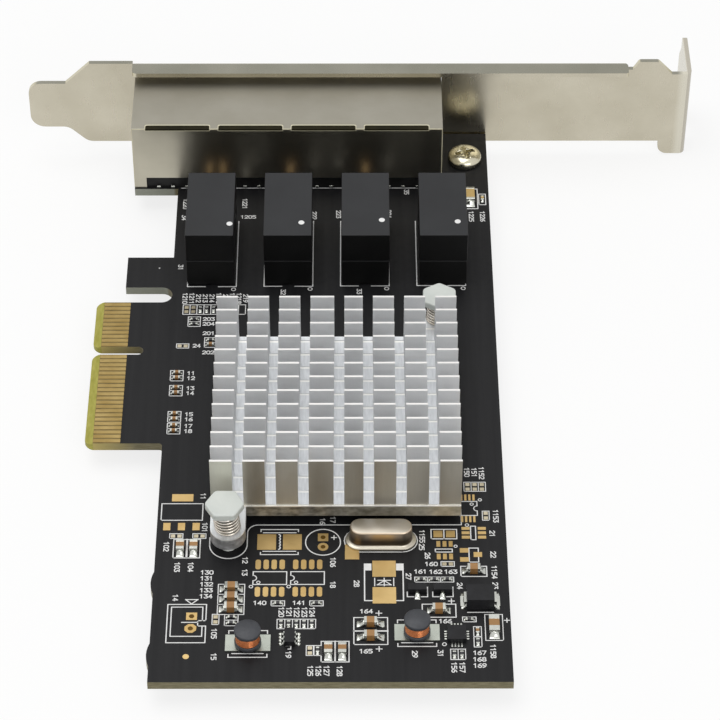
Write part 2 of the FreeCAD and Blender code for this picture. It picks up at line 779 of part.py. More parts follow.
def gull_lead(x, y, reach, body_z, width):
    """Lead from a body's side down to its foot; reach is signed along Y."""
    t = lead_thickness
    knee = math.copysign(t, reach)
    corners = [(0, body_z, 0), (knee, body_z, 0), (knee, t, 0), (reach, t, 0), (reach, 0, 0), (0, 0, 0)]
    lead = side_profile(corners, -width / 2, width / 2)
    lead.translate(Vector(x, y, 0))
    return lead


def make_transistor(x, y):
    """Three-lead transistor, its single lead towards the near edge."""
    body = centred(x, y, 2.9, 1.35, (0.08, 1.05))
    leads = [gull_lead(x, y - 0.675, -0.6, 0.6, 0.4)]
    leads += [gull_lead(x + side * 0.95, y + 0.675, 0.6, 0.6, 0.4) for side in (-1, 1)]
    return body, leads


def make_amplifier():
    """Six-lead chip, turned so that its leads point along X."""
    body = centred(0, 0, 2.9, 1.6, (0.08, 1.1))
    leads = [gull_lead(i * 0.95, side * 0.8, side * 0.6, 0.6, 0.38) for i in (-1, 0, 1) for side in (-1, 1)]
    place = power(*AMPLIFIER)
    return turned(body, *place, 90), [turned(lead, *place, 90) for lead in leads]


def make_diode():
    """Surface-mount power diode with two wide folded leads."""
    x, y = power(*DIODE)
    body = side_profile([(y - 1.8, 0.1, 0), (y + 1.8, 0.1, 0), (y + 1.8, 1.1, 0), (y + 1.65, 2.3, 0),
                         (y - 1.65, 2.3, 0), (y - 1.8, 1.1, 0)], x - 2.15, x + 2.15)
    leads = []
    for side in (-1, 1):
        corners = [(side * 2.15, 1.2, 0), (side * 2.55, 1.2, 0), (side * 2.55, 0.2, 0), (side * 3.1, 0.2, 0),
                   (side * 3.1, 0, 0), (side * 2.35, 0, 0), (side * 2.35, 1.0, 0), (side * 2.15, 1.0, 0)]
        lead = upright_plate(corners, -1.05, 1.05)
        lead.translate(Vector(x, y, 0))
        leads.append(lead)
    return body, leads


# ---------------------------------------------------------------- the card
def main():
    os.makedirs("parts", exist_ok=True)
    export("circuit_board", [make_board()])
    export("edge_contacts", make_edge_contacts())
    export("bare_pads", make_bare_pads())
    export("bracket", [make_bracket()])
    export("bracket_screw", [make_screw()])
    export("port_shield", [make_shield()])
    export("port_housing", [make_housing()])
    export("port_contacts", [make_wire(x) for x in wire_places()])
    export("port_lamps", make_lamps())
    for i, x in enumerate(module_centres()):
        export("magnetics_module_" + str(i + 1), [make_module(x)])
    export("heat_sink", [make_sink()])
    export("controller_chip", [make_controller()])
    export("thermal_pad", [make_thermal_pad()])
    for name, place in zip(("near", "far"), ear_places):
        export("push_pin_" + name, [make_push_pin(*place)])
        export("pin_spring_" + name, [make_spring(place[0], place[1])])
    export("crystal_can", [make_crystal()])
    export("crystal_leads", [centred(x, y, crystal_lead, crystal_lead, (tail_z, 0))
                             for x, y in crystal_lead_places()])
    for name, place in zip(("left", "right"), INDUCTORS):
        x, y = power(*place)
        export("inductor_core_" + name, [make_drum(x, y)])
        export("inductor_winding_" + name, [make_winding(x, y)])
        export("inductor_terminals_" + name, make_clips(x, y))
    large = chip_parts(large_capacitor, at(power, LARGE_CAPACITORS))
    long_places = at(power, LONG_CAPACITORS) + at(edge, [EDGE_LONG_CAPACITOR])
    export("large_capacitors", large + chip_parts(long_capacitor, long_places))
    small_places = at(lane, LANE_CAPACITORS + [SENSE_CAPACITOR]) + at(power, NEAR_SMALL_CAPACITORS)
    small_places += at(edge, [EDGE_SMALL_CAPACITOR])
    export("small_capacitors", chip_parts(small_capacitor, small_places))
    export("resistors", chip_parts(small_resistor, at(lane, LANE_RESISTORS) + at(power, NEAR_RESISTORS)))
    transistors = [make_transistor(*power(x, y)) for x, y in TRANSISTORS]
    export("transistor_bodies", [body for body, leads in transistors])
    export("transistor_leads", [lead for body, leads in transistors for lead in leads])
    body, leads = make_amplifier()
    export("amplifier_body", [body])
    export("amplifier_leads", leads)
    export("converter_chip", [centred(*power(*CONVERTER), 2.9, 2.9, (0, 0.85))])
    body, leads = make_diode()
    export("diode_body", [body])
    export("diode_leads", leads)


main()
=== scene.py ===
"""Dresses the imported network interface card: materials, printed marks, pads, solder, rounded small parts."""
from math import cos, hypot, pi, radians, sin

import bpy
from mathutils import Matrix, Vector


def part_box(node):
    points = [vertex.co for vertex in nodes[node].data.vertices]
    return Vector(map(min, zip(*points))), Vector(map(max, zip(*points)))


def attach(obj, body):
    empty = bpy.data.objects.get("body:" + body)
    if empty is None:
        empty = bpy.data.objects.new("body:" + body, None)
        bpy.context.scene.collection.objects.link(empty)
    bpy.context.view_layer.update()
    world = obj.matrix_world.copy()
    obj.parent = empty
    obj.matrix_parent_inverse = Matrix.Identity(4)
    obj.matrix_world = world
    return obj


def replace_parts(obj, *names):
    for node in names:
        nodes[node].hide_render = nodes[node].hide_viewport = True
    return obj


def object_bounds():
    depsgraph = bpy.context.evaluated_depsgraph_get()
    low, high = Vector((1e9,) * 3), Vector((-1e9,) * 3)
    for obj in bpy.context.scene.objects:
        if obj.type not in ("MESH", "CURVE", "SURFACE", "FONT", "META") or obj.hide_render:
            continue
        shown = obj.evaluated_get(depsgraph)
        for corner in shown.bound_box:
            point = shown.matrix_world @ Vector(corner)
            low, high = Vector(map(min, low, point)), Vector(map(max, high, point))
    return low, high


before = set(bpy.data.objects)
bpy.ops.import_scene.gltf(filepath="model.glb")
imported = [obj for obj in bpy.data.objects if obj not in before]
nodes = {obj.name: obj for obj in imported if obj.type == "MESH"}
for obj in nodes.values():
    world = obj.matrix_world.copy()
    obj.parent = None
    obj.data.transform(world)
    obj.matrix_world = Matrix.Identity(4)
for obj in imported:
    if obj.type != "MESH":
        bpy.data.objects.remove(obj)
cad_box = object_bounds()

# Lengths below are in millimetres; MM turns them into metres.
MM = 0.001


def edges_of(name):
    """Lowest and highest corner of a CAD node, in millimetres."""
    low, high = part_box(name)
    return [v / MM for v in low], [v / MM for v in high]


def middle_of(name):
    """Middle of a CAD node, seen from above."""
    low, high = edges_of(name)
    return (low[0] + high[0]) / 2, (low[1] + high[1]) / 2


BOARD_LOW, BOARD_HIGH = edges_of("circuit_board")
JACK_LOW, JACK_HIGH = edges_of("port_shield")
MODULES = [edges_of("magnetics_module_%d" % i) for i in range(1, 5)]
SINK_LOW = edges_of("heat_sink")[0]
CONTACTS_HIGH = edges_of("edge_contacts")[1]
FLANGE_X = edges_of("bracket")[1][0]
EAR_TOP = edges_of("pin_spring_near")[0][2]
SOLDER_Z = BOARD_LOW[2]
BOARD_X = 12.85                # left edge of the board proper, beside the connector
SINK_Y = -40.1                 # near edge of the heat sink's base
SINK_SIZE = 40.0
FIN_PITCH = 3.17
LEAD_PITCH = 1.27
PORT_PITCH = 13.0
PORTS = [middle_of("port_shield")[0] + (i - 1.5) * PORT_PITCH for i in range(4)]
EIGHT_LEAD_X = (18.35, 24.3)   # empty eight-lead footprints, from the board's left edge
INK = 0.02                     # thickness of the printed marks
INK_W = 0.17                   # width of the printed lines
FINE_W = 0.14                  # width of the finer ones
RAIL = 2.7                     # from an inductor's middle to the brackets printed about it
PLATE = 0.03                   # thickness of bare pads
MARK_PITCH = 13.34             # magnetics outlines; the cases stand at a pitch of their own
DOTS = ((23.1, 19.65), (35.5, 19.95), (49.4, 20.6), (62.5, 20.2))      # first leads of the magnetics


def power(x, y):
    """Place in the power section: from the board's left edge and the heat sink's near edge."""
    return BOARD_X + x, SINK_Y + y


def lane(x, y):
    """Place from the board's left edge and the zero line."""
    return BOARD_X + x, y


# ---------------- node materials
class Look:
    """Node tree of a material or of the world, with its principled shader if it has one."""

    def __init__(self, owner):
        owner.use_nodes = True
        self.owner = owner
        self.tree = owner.node_tree
        self.shader = self.tree.nodes.get("Principled BSDF")

    def feed(self, node, inputs):
        """Joins a node's inputs to sockets or sets them to constants; returns the node."""
        for key, value in inputs.items():
            if isinstance(value, bpy.types.NodeSocket):
                self.tree.links.new(value, node.inputs[key])
            else:
                node.inputs[key].default_value = value
        return node

    def add(self, kind, inputs=None):
        """New node with some of its inputs."""
        return self.feed(self.tree.nodes.new("ShaderNode" + kind), inputs or {})

    def number(self, operation, *values):
        """Math node between sockets or constants."""
        node = self.add("Math", dict(enumerate(values)))
        node.operation = operation
        return node.outputs[0]

    def times(self, a, b):
        """Product of sockets or constants."""
        return self.number("MULTIPLY", a, b)

    def blend(self, factor, a, b):
        """Colour mix; a and b are colours or sockets."""
        node = self.tree.nodes.new("ShaderNodeMix")
        node.data_type = "RGBA"
        a, b = [(*value, 1) if isinstance(value, tuple) else value for value in (a, b)]
        return self.feed(node, {0: factor, 6: a, 7: b}).outputs[2]

    def noise(self, scale, detail=3.0, stretch=(1, 1, 1)):
        """Noise in the object's own space; scale is features per millimetre."""
        place = self.add("TexCoord").outputs["Object"]
        place = self.add("Mapping", {"Vector": place, "Scale": stretch}).outputs[0]
        return self.add("TexNoise", {"Vector": place, "Scale": scale / MM, "Detail": detail}).outputs["Fac"]

    def ramp(self, value, low, high, first=0.0, last=1.0):
        """Straight ramp from first at low to last at high, held inside."""
        limits = {"Value": value, "From Min": low, "From Max": high, "To Min": first, "To Max": last}
        return self.add("MapRange", limits).outputs[0]

    def along(self, value, low, high):
        """Ramp from 0 to 1 between two places in millimetres."""
        return self.ramp(value, low * MM, high * MM)

    def spread(self, texture, low, high):
        """Noise, which stays near the middle, spread over a range of values."""
        return self.ramp(texture, 0.3, 0.7, low, high)

    def mottle(self, texture, dark, light):
        """Colour that goes from dark to light with a noise."""
        return self.blend(self.spread(texture, 0, 1), dark, light)

    def axes(self, kind):
        """X, Y and Z of the point ("Position") or of the surface's direction ("True Normal")."""
        return self.add("SeparateXYZ", {0: self.add("NewGeometry").outputs[kind]}).outputs

    def surface(self, colour, roughness, metallic, shine, height, relief, depth=0.02):
        """Sets the shader; shine is its clear reflection, relief and depth (mm) are its bump."""
        bump = self.add("Bump", {"Strength": relief, "Distance": depth * MM, "Height": height})
        self.feed(self.shader, {"Base Color": colour, "Roughness": roughness, "Metallic": metallic,
                                "Specular IOR Level": shine, "Normal": bump.outputs[0]})
        return self.owner


def new_look(name):
    """Look of a new material."""
    return Look(bpy.data.materials.new(name))


def plain(name, dark, light, metallic, rough, grain, relief=0.15, depth=0.02, shine=0.5):
    """Surface whose colour and roughness vary softly, with a fine grain."""
    look = new_look(name)
    fine = look.noise(grain)
    colour = look.mottle(look.noise(grain * 0.12, 4), dark, light)
    return look.surface(colour, look.spread(fine, *rough), metallic, shine, fine, relief, depth)


def two_tone(name, side, top, rough, metallic, grain, stretch=(1, 1, 1), relief=0.1, shine=0.5, edge=None,
             dull=0.0):
    """Surface with painted light: one pair of colours on its sides and one where it faces up, as lit and
    shaded copies of one material, and a painted highlight on its rounded edges.

    dull is added to the roughness where it faces up.
    """
    look = new_look(name)
    facing = look.axes("True Normal")
    slow = look.noise(0.1, 4)
    fine = look.noise(grain, 3, stretch)
    colour = look.mottle(slow, *side)
    # Painted highlight on the rounded edges.
    if edge:
        lean_x, lean_y, lean_z = [look.number("ABSOLUTE", value) for value in facing]
        turned = look.number("MAXIMUM", lean_z, look.number("MINIMUM", lean_x, lean_y))
        colour = look.blend(look.ramp(turned, 0.2, 0.35), colour, edge)
    # Painted light: faces turned up get a pair of colours of their own.
    upwards = look.ramp(facing[2], 0.85, 0.97)
    colour = look.blend(upwards, colour, look.mottle(slow, *top))
    roughness = look.number("ADD", look.spread(fine, *rough), look.times(upwards, dull))
    return look.surface(colour, roughness, metallic, shine, fine, relief)


def recolour(mat, axis, low, high, colour):
    """Blends a surface's colour into another along an axis, from low to high in millimetres."""
    look = Look(mat)
    before = look.shader.inputs["Base Color"].links[0].from_socket
    place = look.along(look.axes("Position")[axis], low, high)
    look.feed(look.shader, {"Base Color": look.blend(place, before, colour)})


def make_board_material():
    """Black solder mask on the faces, bare laminate on the cut edges and round the edge contacts."""
    look = new_look("solder_mask")
    x, y = look.axes("Position")[:2]
    flat = look.ramp(look.number("ABSOLUTE", look.axes("True Normal")[2]), 0.96, 0.99)
    speck = look.noise(0.9, 6)
    tracks = look.noise(0.8, 2, (1, 0.03, 1))
    fibre = look.noise(5.0, 2, (0.12, 0.12, 1))
    mask = look.mottle(tracks, (0.009, 0.009, 0.01), (0.014, 0.014, 0.015))
    edge = look.mottle(fibre, (0.13, 0.115, 0.062), (0.22, 0.195, 0.12))
    bare = look.mottle(fibre, (0.16, 0.12, 0.045), (0.24, 0.18, 0.07))
    bevel = look.mottle(fibre, (0.3, 0.28, 0.05), (0.4, 0.37, 0.09))
    end_x, end_y = CONTACTS_HIGH[:2]
    tongue = look.along(y, end_y + 1.2, end_y + 1.1)
    strip = look.times(look.along(x, end_x, end_x - 0.05), tongue)
    tip = look.times(look.along(x, 1.45, 1.35), tongue)
    amber = look.times(look.along(x, 8.5, 1.5), tongue)
    slot = look.times(look.along(x, 12.4, 12.0), look.along(y, 12.8, 13.0))
    sawn = look.blend(tip, look.blend(amber, edge, (0.42, 0.34, 0.12)), bevel)
    sawn = look.blend(slot, sawn, (0.3, 0.31, 0.26))
    colour = look.blend(flat, sawn, look.blend(strip, mask, bare))
    return look.surface(colour, look.spread(speck, 0.36, 0.5), 0.0, 0.15, speck, 0.12, 0.03)


def make_sink_material():
    """Sawn aluminium: pale slot floors, a darker worn near side, and painted light: highlights along the
    base's top edge, the near edge and each fin's root, lighter leftmost fins, and a near side that gets
    lighter towards the board.
    """
    look = new_look("sawn_aluminium")
    x, y, z = look.axes("Position")

    def rightwards(low, high):
        """Ramp between two distances from the sink's left edge."""
        return look.along(x, SINK_LOW[0] + low, SINK_LOW[0] + high)

    def inwards(low, high):
        """Ramp between two distances from its near edge."""
        return look.along(y, SINK_Y + low, SINK_Y + high)

    def upwards(low, high):
        """Ramp between two heights over its ears."""
        return look.along(z, EAR_TOP + low, EAR_TOP + high)

    score = look.noise(3.0, 4, (1, 0.15, 0.1))
    cloud = look.noise(0.12, 3)
    fins = look.noise(0.16, 1, (1, 0.6, 0.02))
    wear = look.noise(1.2, 6, (0.6, 1, 1))
    bright = (1.0, 0.99, 0.95)
    # Near side of the base and its ear: worn in patches, with a painted highlight that makes it lighter
    # towards the board.
    depth = look.times(look.along(z, EAR_TOP, SINK_LOW[2]), 0.2)
    wear_and_highlight = look.number("ADD", look.spread(wear, -0.2, 0.8), depth)
    left = look.blend(wear_and_highlight, (0.14, 0.13, 0.105), (0.48, 0.455, 0.39))
    right = look.blend(wear_and_highlight, (0.42, 0.39, 0.3), (0.66, 0.62, 0.52))
    worn_and_highlit = look.blend(rightwards(18, 34), left, right)
    ear = inwards(-0.2, -0.3)
    worn_and_highlit = look.blend(ear, worn_and_highlit, look.blend(wear_and_highlight, (0.3, 0.295, 0.29), (0.62, 0.62, 0.63)))
    # Sides of the fins; the nearest ones are darker.
    side = look.mottle(cloud, (0.72, 0.725, 0.73), (0.84, 0.845, 0.85))
    front = look.mottle(fins, (0.28, 0.255, 0.205), (0.46, 0.44, 0.385))
    # Painted reflection: the near faces of the leftmost fins are lighter.
    front = look.blend(rightwards(6, 4), front, (0.62, 0.62, 0.54))
    # Painted highlight: a near-white band at the top of the base's sides, along its top edge.
    sides = look.blend(upwards(0.03, 0), look.blend(inwards(0.46, 0.42), side, front), bright)
    sides = look.blend(upwards(-0.2, -0.25), sides, worn_and_highlit)
    # Slot floors with a painted highlight along each fin's root and another along the near edge.
    row = look.number("MODULO", look.number("SUBTRACT", y, (SINK_Y - 0.23) * MM), FIN_PITCH * MM)
    root_highlight = look.times(look.along(row, 0.38, 0.34), look.spread(cloud, 0.5, 1.6))
    root_highlight = look.times(root_highlight, look.number("SUBTRACT", 1.0, ear))
    near_edge_highlight = look.times(inwards(0.22, 0.18), inwards(-0.15, -0.1))
    floor = look.mottle(score, (0.66, 0.68, 0.7), (0.8, 0.82, 0.84))
    floor = look.blend(look.number("MAXIMUM", root_highlight, near_edge_highlight), floor, bright)
    top = look.blend(upwards(4, 5), floor, (0.72, 0.71, 0.69))
    colour = look.blend(look.ramp(look.axes("True Normal")[2], 0.55, 0.7), sides, top)
    return look.surface(colour, look.spread(score, 0.4, 0.55), 0.7, 0.5, cloud, 0.1)


MASK = make_board_material()
SINK = make_sink_material()
# Tinned sheet with painted light: darker where it faces up, and a painted highlight on its rounded edges.
SHIELD = two_tone("tinned_sheet", ((0.42, 0.395, 0.32), (0.52, 0.49, 0.4)),
                  ((0.27, 0.255, 0.21), (0.32, 0.305, 0.26)), (0.29, 0.31), 1.0, 1.5, (1, 1, 0.3), 0.002,
                  edge=(0.85, 0.8, 0.62), dull=0.2)
# Nickel plate with painted light: darker where it faces up, and a painted highlight on its rounded edges.
BRACKET = two_tone("nickel_plate", ((0.51, 0.472, 0.372), (0.6, 0.56, 0.455)),
                   ((0.25, 0.245, 0.2), (0.31, 0.3, 0.25)), (0.25, 0.28), 1.0, 1.0, (1, 1, 0.2), 0.002,
                   edge=(0.6, 0.56, 0.42))
# Painted light along the flange bend: a lighter band before the bend and a dimmer flange beyond it.
recolour(BRACKET, 0, FLANGE_X - 2.6, FLANGE_X - 1.5, (0.66, 0.63, 0.53))
recolour(BRACKET, 0, FLANGE_X - 0.8, FLANGE_X - 0.7, (0.5, 0.47, 0.4))
GOLD = plain("gold_plate", (0.29, 0.2, 0.068), (0.4, 0.295, 0.12), 1.0, (0.28, 0.4), 2.0)
PAD = plain("bare_pad_gold", (0.46, 0.31, 0.12), (0.6, 0.43, 0.19), 0.85, (0.3, 0.42), 1.0)
TINNED = plain("tinned_pad", (0.4, 0.35, 0.24), (0.56, 0.5, 0.37), 0.8, (0.3, 0.42), 3.0)
SHADE = plain("slot_shadow", (0.008, 0.007, 0.002), (0.016, 0.013, 0.004), 0.0, (0.6, 0.7), 3.0, shine=0.1)
TAN = plain("tan_ceramic", (0.7, 0.46, 0.23), (0.88, 0.64, 0.38), 0.0, (0.3, 0.45), 2.0)
# Painted shade: the dark brown of a plated hole's wall seen in shadow.
HOLE_SHADE = plain("hole_wall_in_shade", (0.08, 0.042, 0.006), (0.12, 0.065, 0.012), 0.0, (0.5, 0.6), 3.0, shine=0.1)
TIN = plain("bright_tin", (0.42, 0.43, 0.4), (0.66, 0.67, 0.62), 1.0, (0.2, 0.3), 1.2, 0.12, 0.03)
# Painted highlight for the edges along the jack shield's bend and corners.
EDGE_HIGHLIGHT = plain("painted_edge_highlight", (0.55, 0.51, 0.35), (0.66, 0.62, 0.45), 0.0, (0.3, 0.4), 1.2)
STEEL = plain("bright_steel", (0.46, 0.4, 0.32), (0.72, 0.69, 0.64), 1.0, (0.12, 0.24), 3.0)
SCREW = plain("pale_yellow_plate", (0.5, 0.46, 0.34), (0.62, 0.59, 0.47), 1.0, (0.18, 0.28), 1.5, 0.05)
BLACK = plain("black_moulding", (0.01, 0.01, 0.01), (0.018, 0.018, 0.018), 0.0, (0.4, 0.55), 4.0, shine=0.2)
# Black moulding with painted light: lighter where it faces up than on its sides.
CASE = two_tone("module_moulding", ((0.004, 0.004, 0.004), (0.007, 0.007, 0.007)),
                ((0.019, 0.0195, 0.021), (0.026, 0.027, 0.029)), (0.4, 0.5), 0.0, 6.0, shine=0.2)
CHIP = plain("chip_moulding", (0.009, 0.009, 0.01), (0.014, 0.014, 0.016), 0.0, (0.35, 0.5), 6.0, shine=0.2)
NYLON = plain("white_nylon", (0.53, 0.56, 0.53), (0.63, 0.655, 0.62), 0.0, (0.32, 0.42), 1.5)
nylon = Look(NYLON)
nylon.feed(nylon.shader, {"Subsurface Weight": 0.3, "Subsurface Radius": (0.002, 0.002, 0.002)})
# Can with painted light: darker where it faces up than on its sides.
CRYSTAL = two_tone("crystal_can", ((0.52, 0.43, 0.32), (0.6, 0.5, 0.39)),
                   ((0.34, 0.31, 0.26), (0.4, 0.365, 0.31)), (0.32, 0.38), 1.0, 1.0, relief=0.01, dull=0.02)
# Painted light on the can: darker towards its foot, and lighter again on the flange.
recolour(CRYSTAL, 2, 2.9, 1.6, (0.16, 0.125, 0.09))
recolour(CRYSTAL, 2, 0.75, 0.6, (0.52, 0.48, 0.4))
FERRITE = plain("ferrite", (0.024, 0.026, 0.032), (0.04, 0.043, 0.05), 0.0, (0.42, 0.6), 5.0, 0.4)
COPPER = plain("enamelled_copper", (0.36, 0.11, 0.04), (0.6, 0.22, 0.09), 1.0, (0.12, 0.22), 2.0, 0.05)
CERAMIC = plain("brown_ceramic", (0.24, 0.115, 0.03), (0.36, 0.19, 0.065), 0.0, (0.3, 0.45), 2.0)
recolour(CERAMIC, 1, 25, 26, (0.5, 0.34, 0.12))
TERMINAL = plain("dull_tin", (0.38, 0.405, 0.36), (0.5, 0.525, 0.47), 1.0, (0.26, 0.34), 0.6, 0.02)
RESISTOR = plain("resistor_glaze", (0.02, 0.02, 0.024), (0.05, 0.048, 0.05), 0.0, (0.25, 0.4), 6.0)
RUBBER = plain("grey_pad", (0.3, 0.32, 0.36), (0.4, 0.42, 0.46), 0.0, (0.6, 0.75), 3.0)
LENS = plain("frosted_lens", (0.62, 0.64, 0.6), (0.74, 0.76, 0.72), 0.0, (0.3, 0.4), 3.0)
INK_WHITE = plain("white_ink", (0.68, 0.68, 0.67), (0.8, 0.8, 0.79), 0.0, (0.5, 0.65), 6.0)

INDUCTORS = ("left", "right")
CAD_LOOKS = (
    (MASK, "circuit_board"), (BRACKET, "bracket"), (SHIELD, "port_shield"), (SINK, "heat_sink"),
    (GOLD, "edge_contacts", "port_contacts"), (PAD, "bare_pads"), (BLACK, "port_housing"),
    (LENS, "port_lamps"), (RUBBER, "thermal_pad"), (SCREW, "bracket_screw"), (CRYSTAL, "crystal_can"),
    (NYLON, "push_pin_near", "push_pin_far"), (STEEL, "pin_spring_near", "pin_spring_far"),
    (TIN, "crystal_leads", "transistor_leads", "amplifier_leads", "diode_leads"),
    (CHIP, "controller_chip", "transistor_bodies", "amplifier_body", "converter_chip", "diode_body"),
    (CERAMIC, "large_capacitors", "small_capacitors"), (RESISTOR, "resistors"),
    (FERRITE, *["inductor_core_" + tag for tag in INDUCTORS]),
    (COPPER, *["inductor_winding_" + tag for tag in INDUCTORS]),
    (TERMINAL, *["inductor_terminals_" + tag for tag in INDUCTORS]),
    (CASE, *["magnetics_module_%d" % i for i in range(1, 5)]),
)
for mat, *names in CAD_LOOKS:
    for name in names:
        for slot in nodes[name].material_slots:
            slot.link = "OBJECT"
            slot.material = mat


def round_edges(piece, width, segments=2, angle=40):
    """Bevel on a piece's edges that turn by more than an angle in degrees."""
    modifier = piece.modifiers.new("soft_edges", "BEVEL")
    modifier.width = width * MM
    modifier.segments = segments
    modifier.limit_method = "ANGLE"
    modifier.angle_limit = radians(angle)


for width, segments, *names in (
        (0.06, 1, "heat_sink"), (0.2, 3, "bracket"), (0.1, 2, "port_shield"), (0.08, 2, "diode_body"),
        (0.07, 2, "transistor_bodies", "amplifier_body"), (0.04, 2, "converter_chip"),
        (0.06, 2, "large_capacitors", "inductor_terminals_left", "inductor_terminals_right")):
    for name in names:
        round_edges(nodes[name], width, segments)


def add_object(name, data):
    """Object in the scene."""
    piece = bpy.data.objects.new(name, data)
    bpy.context.scene.collection.objects.link(piece)
    return piece


def applied_mesh(piece):
    """Mesh of a piece with its modifiers applied."""
    return bpy.data.meshes.new_from_object(piece.evaluated_get(bpy.context.evaluated_depsgraph_get()))


# ---------------- solids collected into one piece
class Group:
    """Collects closed solids, given in millimetres, and turns them into one object."""

    def __init__(self):
        self.points = []
        self.faces = []
        self.at()

    def at(self, x=0.0, y=0.0, z=0.0, angle=0.0):
        """Where the next solids go: their origin, and their turn about Z in degrees."""
        self.origin = (x, y, z)
        self.turn = (cos(radians(angle)), sin(radians(angle)))
        return self

    def add(self, points, faces):
        """One solid from its points and faces."""
        base = len(self.points)
        c, s = self.turn
        x, y, z = self.origin
        for u, v, w in points:
            self.points.append(((x + u * c - v * s) * MM, (y + u * s + v * c) * MM, (z + w) * MM))
        self.faces += [tuple(base + i for i in face) for face in faces]

    def box(self, x0, x1, y0, y1, z0, z1):
        """Straight block."""
        self.prism([(x0, y0), (x1, y0), (x1, y1), (x0, y1)], z0, z1)

    def prism(self, rim, z0, z1):
        """Straight solid over an outline that runs anticlockwise."""
        self.stack([(rim, z0), (rim, z1)])

    def stack(self, rings):
        """Closed solid through outlines with equal numbers of points, each at its height."""
        self.sweep([[(u, v, z) for u, v in rim] for rim, z in rings])

    def sweep(self, sections):
        """Closed solid through sections with equal numbers of points."""
        n = len(sections[0])
        points = sum(sections, [])
        faces = [tuple(range(n))[::-1], tuple(range(len(points) - n, len(points)))]
        for here in range(0, len(points) - n, n):
            faces += [(here + k, here + (k + 1) % n, here + n + (k + 1) % n, here + n + k) for k in range(n)]
        self.add(points, faces)

    def ring(self, r_in, r_out, height, sides, first, last):
        """Flat ring or arc about the origin."""
        whole = abs(last - first - 360) < 1e-6
        count = sides if whole else sides + 1
        points = []
        for i in range(count):
            a = radians(first + (last - first) * i / sides)
            for r, z in ((r_in, 0), (r_out, 0), (r_out, height), (r_in, height)):
                points.append((r * cos(a), r * sin(a), z))
        faces = []
        for i in range(sides):
            j = (i + 1) % count
            for k in range(4):
                m = (k + 1) % 4
                faces.append((4 * i + k, 4 * j + k, 4 * j + m, 4 * i + m))
        if not whole:
            faces += [(0, 1, 2, 3), tuple(4 * (count - 1) + k for k in (3, 2, 1, 0))]
        self.add(points, faces)

    def lathe(self, profile, sides):
        """Solid of revolution about the origin; the profile runs upwards from the axis and back to it."""
        rim = [p for p in profile if p[0] > 0]
        n = len(rim)
        points = [(0, 0, profile[0][1]), (0, 0, profile[-1][1])]
        for i in range(sides):
            a = 2 * pi * i / sides
            points += [(r * cos(a), r * sin(a), z) for r, z in rim]
        faces = []
        for i in range(sides):
            here, there = 2 + i * n, 2 + (i + 1) % sides * n
            faces.append((0, there, here))
            faces.append((1, here + n - 1, there + n - 1))
            faces += [(here + k, there + k, there + k + 1, here + k + 1) for k in range(n - 1)]
        self.add(points, faces)

    def stroke(self, points, width=INK_W, height=INK):
        """Printed line through points; the short solids differ a hair in height where they cross."""
        for i, ((x0, y0), (x1, y1)) in enumerate(zip(points, points[1:])):
            length = hypot(x1 - x0, y1 - y0)
            if length < 1e-9:
                continue
            ux, uy = (x1 - x0) / length * width / 2, (y1 - y0) / length * width / 2
            rim = [(x0 - ux + uy, y0 - uy - ux), (x1 + ux + uy, y1 + uy - ux),
                   (x1 + ux - uy, y1 + uy + ux), (x0 - ux - uy, y0 - uy + ux)]
            self.prism(rim, 0, height * (1 + 0.04 * (i % 3)))

    def make(self, name, mat, bevel=0.0, smooth=False):
        """One object from everything collected, riding on the card."""
        mesh = bpy.data.meshes.new(name)
        mesh.from_pydata(self.points, [], self.faces)
        mesh.validate()
        piece = add_object(name, mesh)
        mesh.materials.append(mat)
        if bevel:
            round_edges(piece, bevel, angle=35)
        if smooth:
            mesh.shade_smooth()
        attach(piece, "root")
        return piece


def on_circle(x, y, r, degrees):
    """Point on a circle."""
    a = radians(degrees)
    return x + r * cos(a), y + r * sin(a)


def stadium(length, width, sides=16):
    """Outline of a round-ended bar."""
    r, half = width / 2, (length - width) / 2
    return [on_circle(side * half, 0, r, first + 180 * i / sides)
            for side, first in ((1, -90), (-1, 90)) for i in range(sides + 1)]


def hexagon(r, fillet):
    """Outline of a hexagon with rounded corners; r is to the sharp corner."""
    middle = r - fillet / cos(radians(30))
    return [on_circle(*on_circle(0, 0, middle, corner), fillet, corner + turn)
            for corner in range(0, 360, 60) for turn in (-30, -15, 0, 15, 30)]


DIGITS = {
    "0": [(0, .2), (0, .8), (.18, 1), (.42, 1), (.6, .8), (.6, .2), (.42, 0), (.18, 0), (0, .2)],
    "1": [(.08, .8), (.32, 1), (.32, 0)],
    "2": [(0, .8), (.15, 1), (.45, 1), (.6, .82), (.6, .62), (0, 0), (.6, 0)],
    "3": [(0, 1), (.58, 1), (.28, .6), (.6, .4), (.6, .16), (.44, 0), (.12, 0), (0, .14)],
    "4": [(.44, 0), (.44, 1), (0, .3), (.6, .3)],
    "5": [(.58, 1), (.04, 1), (0, .58), (.4, .6), (.6, .4), (.6, .18), (.42, 0), (.05, 0)],
    "6": [(.52, 1), (.18, .8), (0, .45), (0, .18), (.18, 0), (.42, 0), (.6, .18), (.6, .38), (.42, .55),
          (.04, .5)],
    "7": [(0, 1), (.6, 1), (.2, 0)],
    "8": [(.3, .54), (.04, .72), (.04, .86), (.18, 1), (.42, 1), (.56, .86), (.56, .72), (.3, .54), (0, .34),
          (0, .14), (.16, 0), (.44, 0), (.6, .14), (.6, .34), (.3, .54)],
    "9": [(.08, 0), (.42, .2), (.6, .55), (.6, .82), (.42, 1), (.18, 1), (0, .82), (0, .62), (.18, .45),
          (.56, .5)],
}


# ---------------- printed marks
ink = Group()


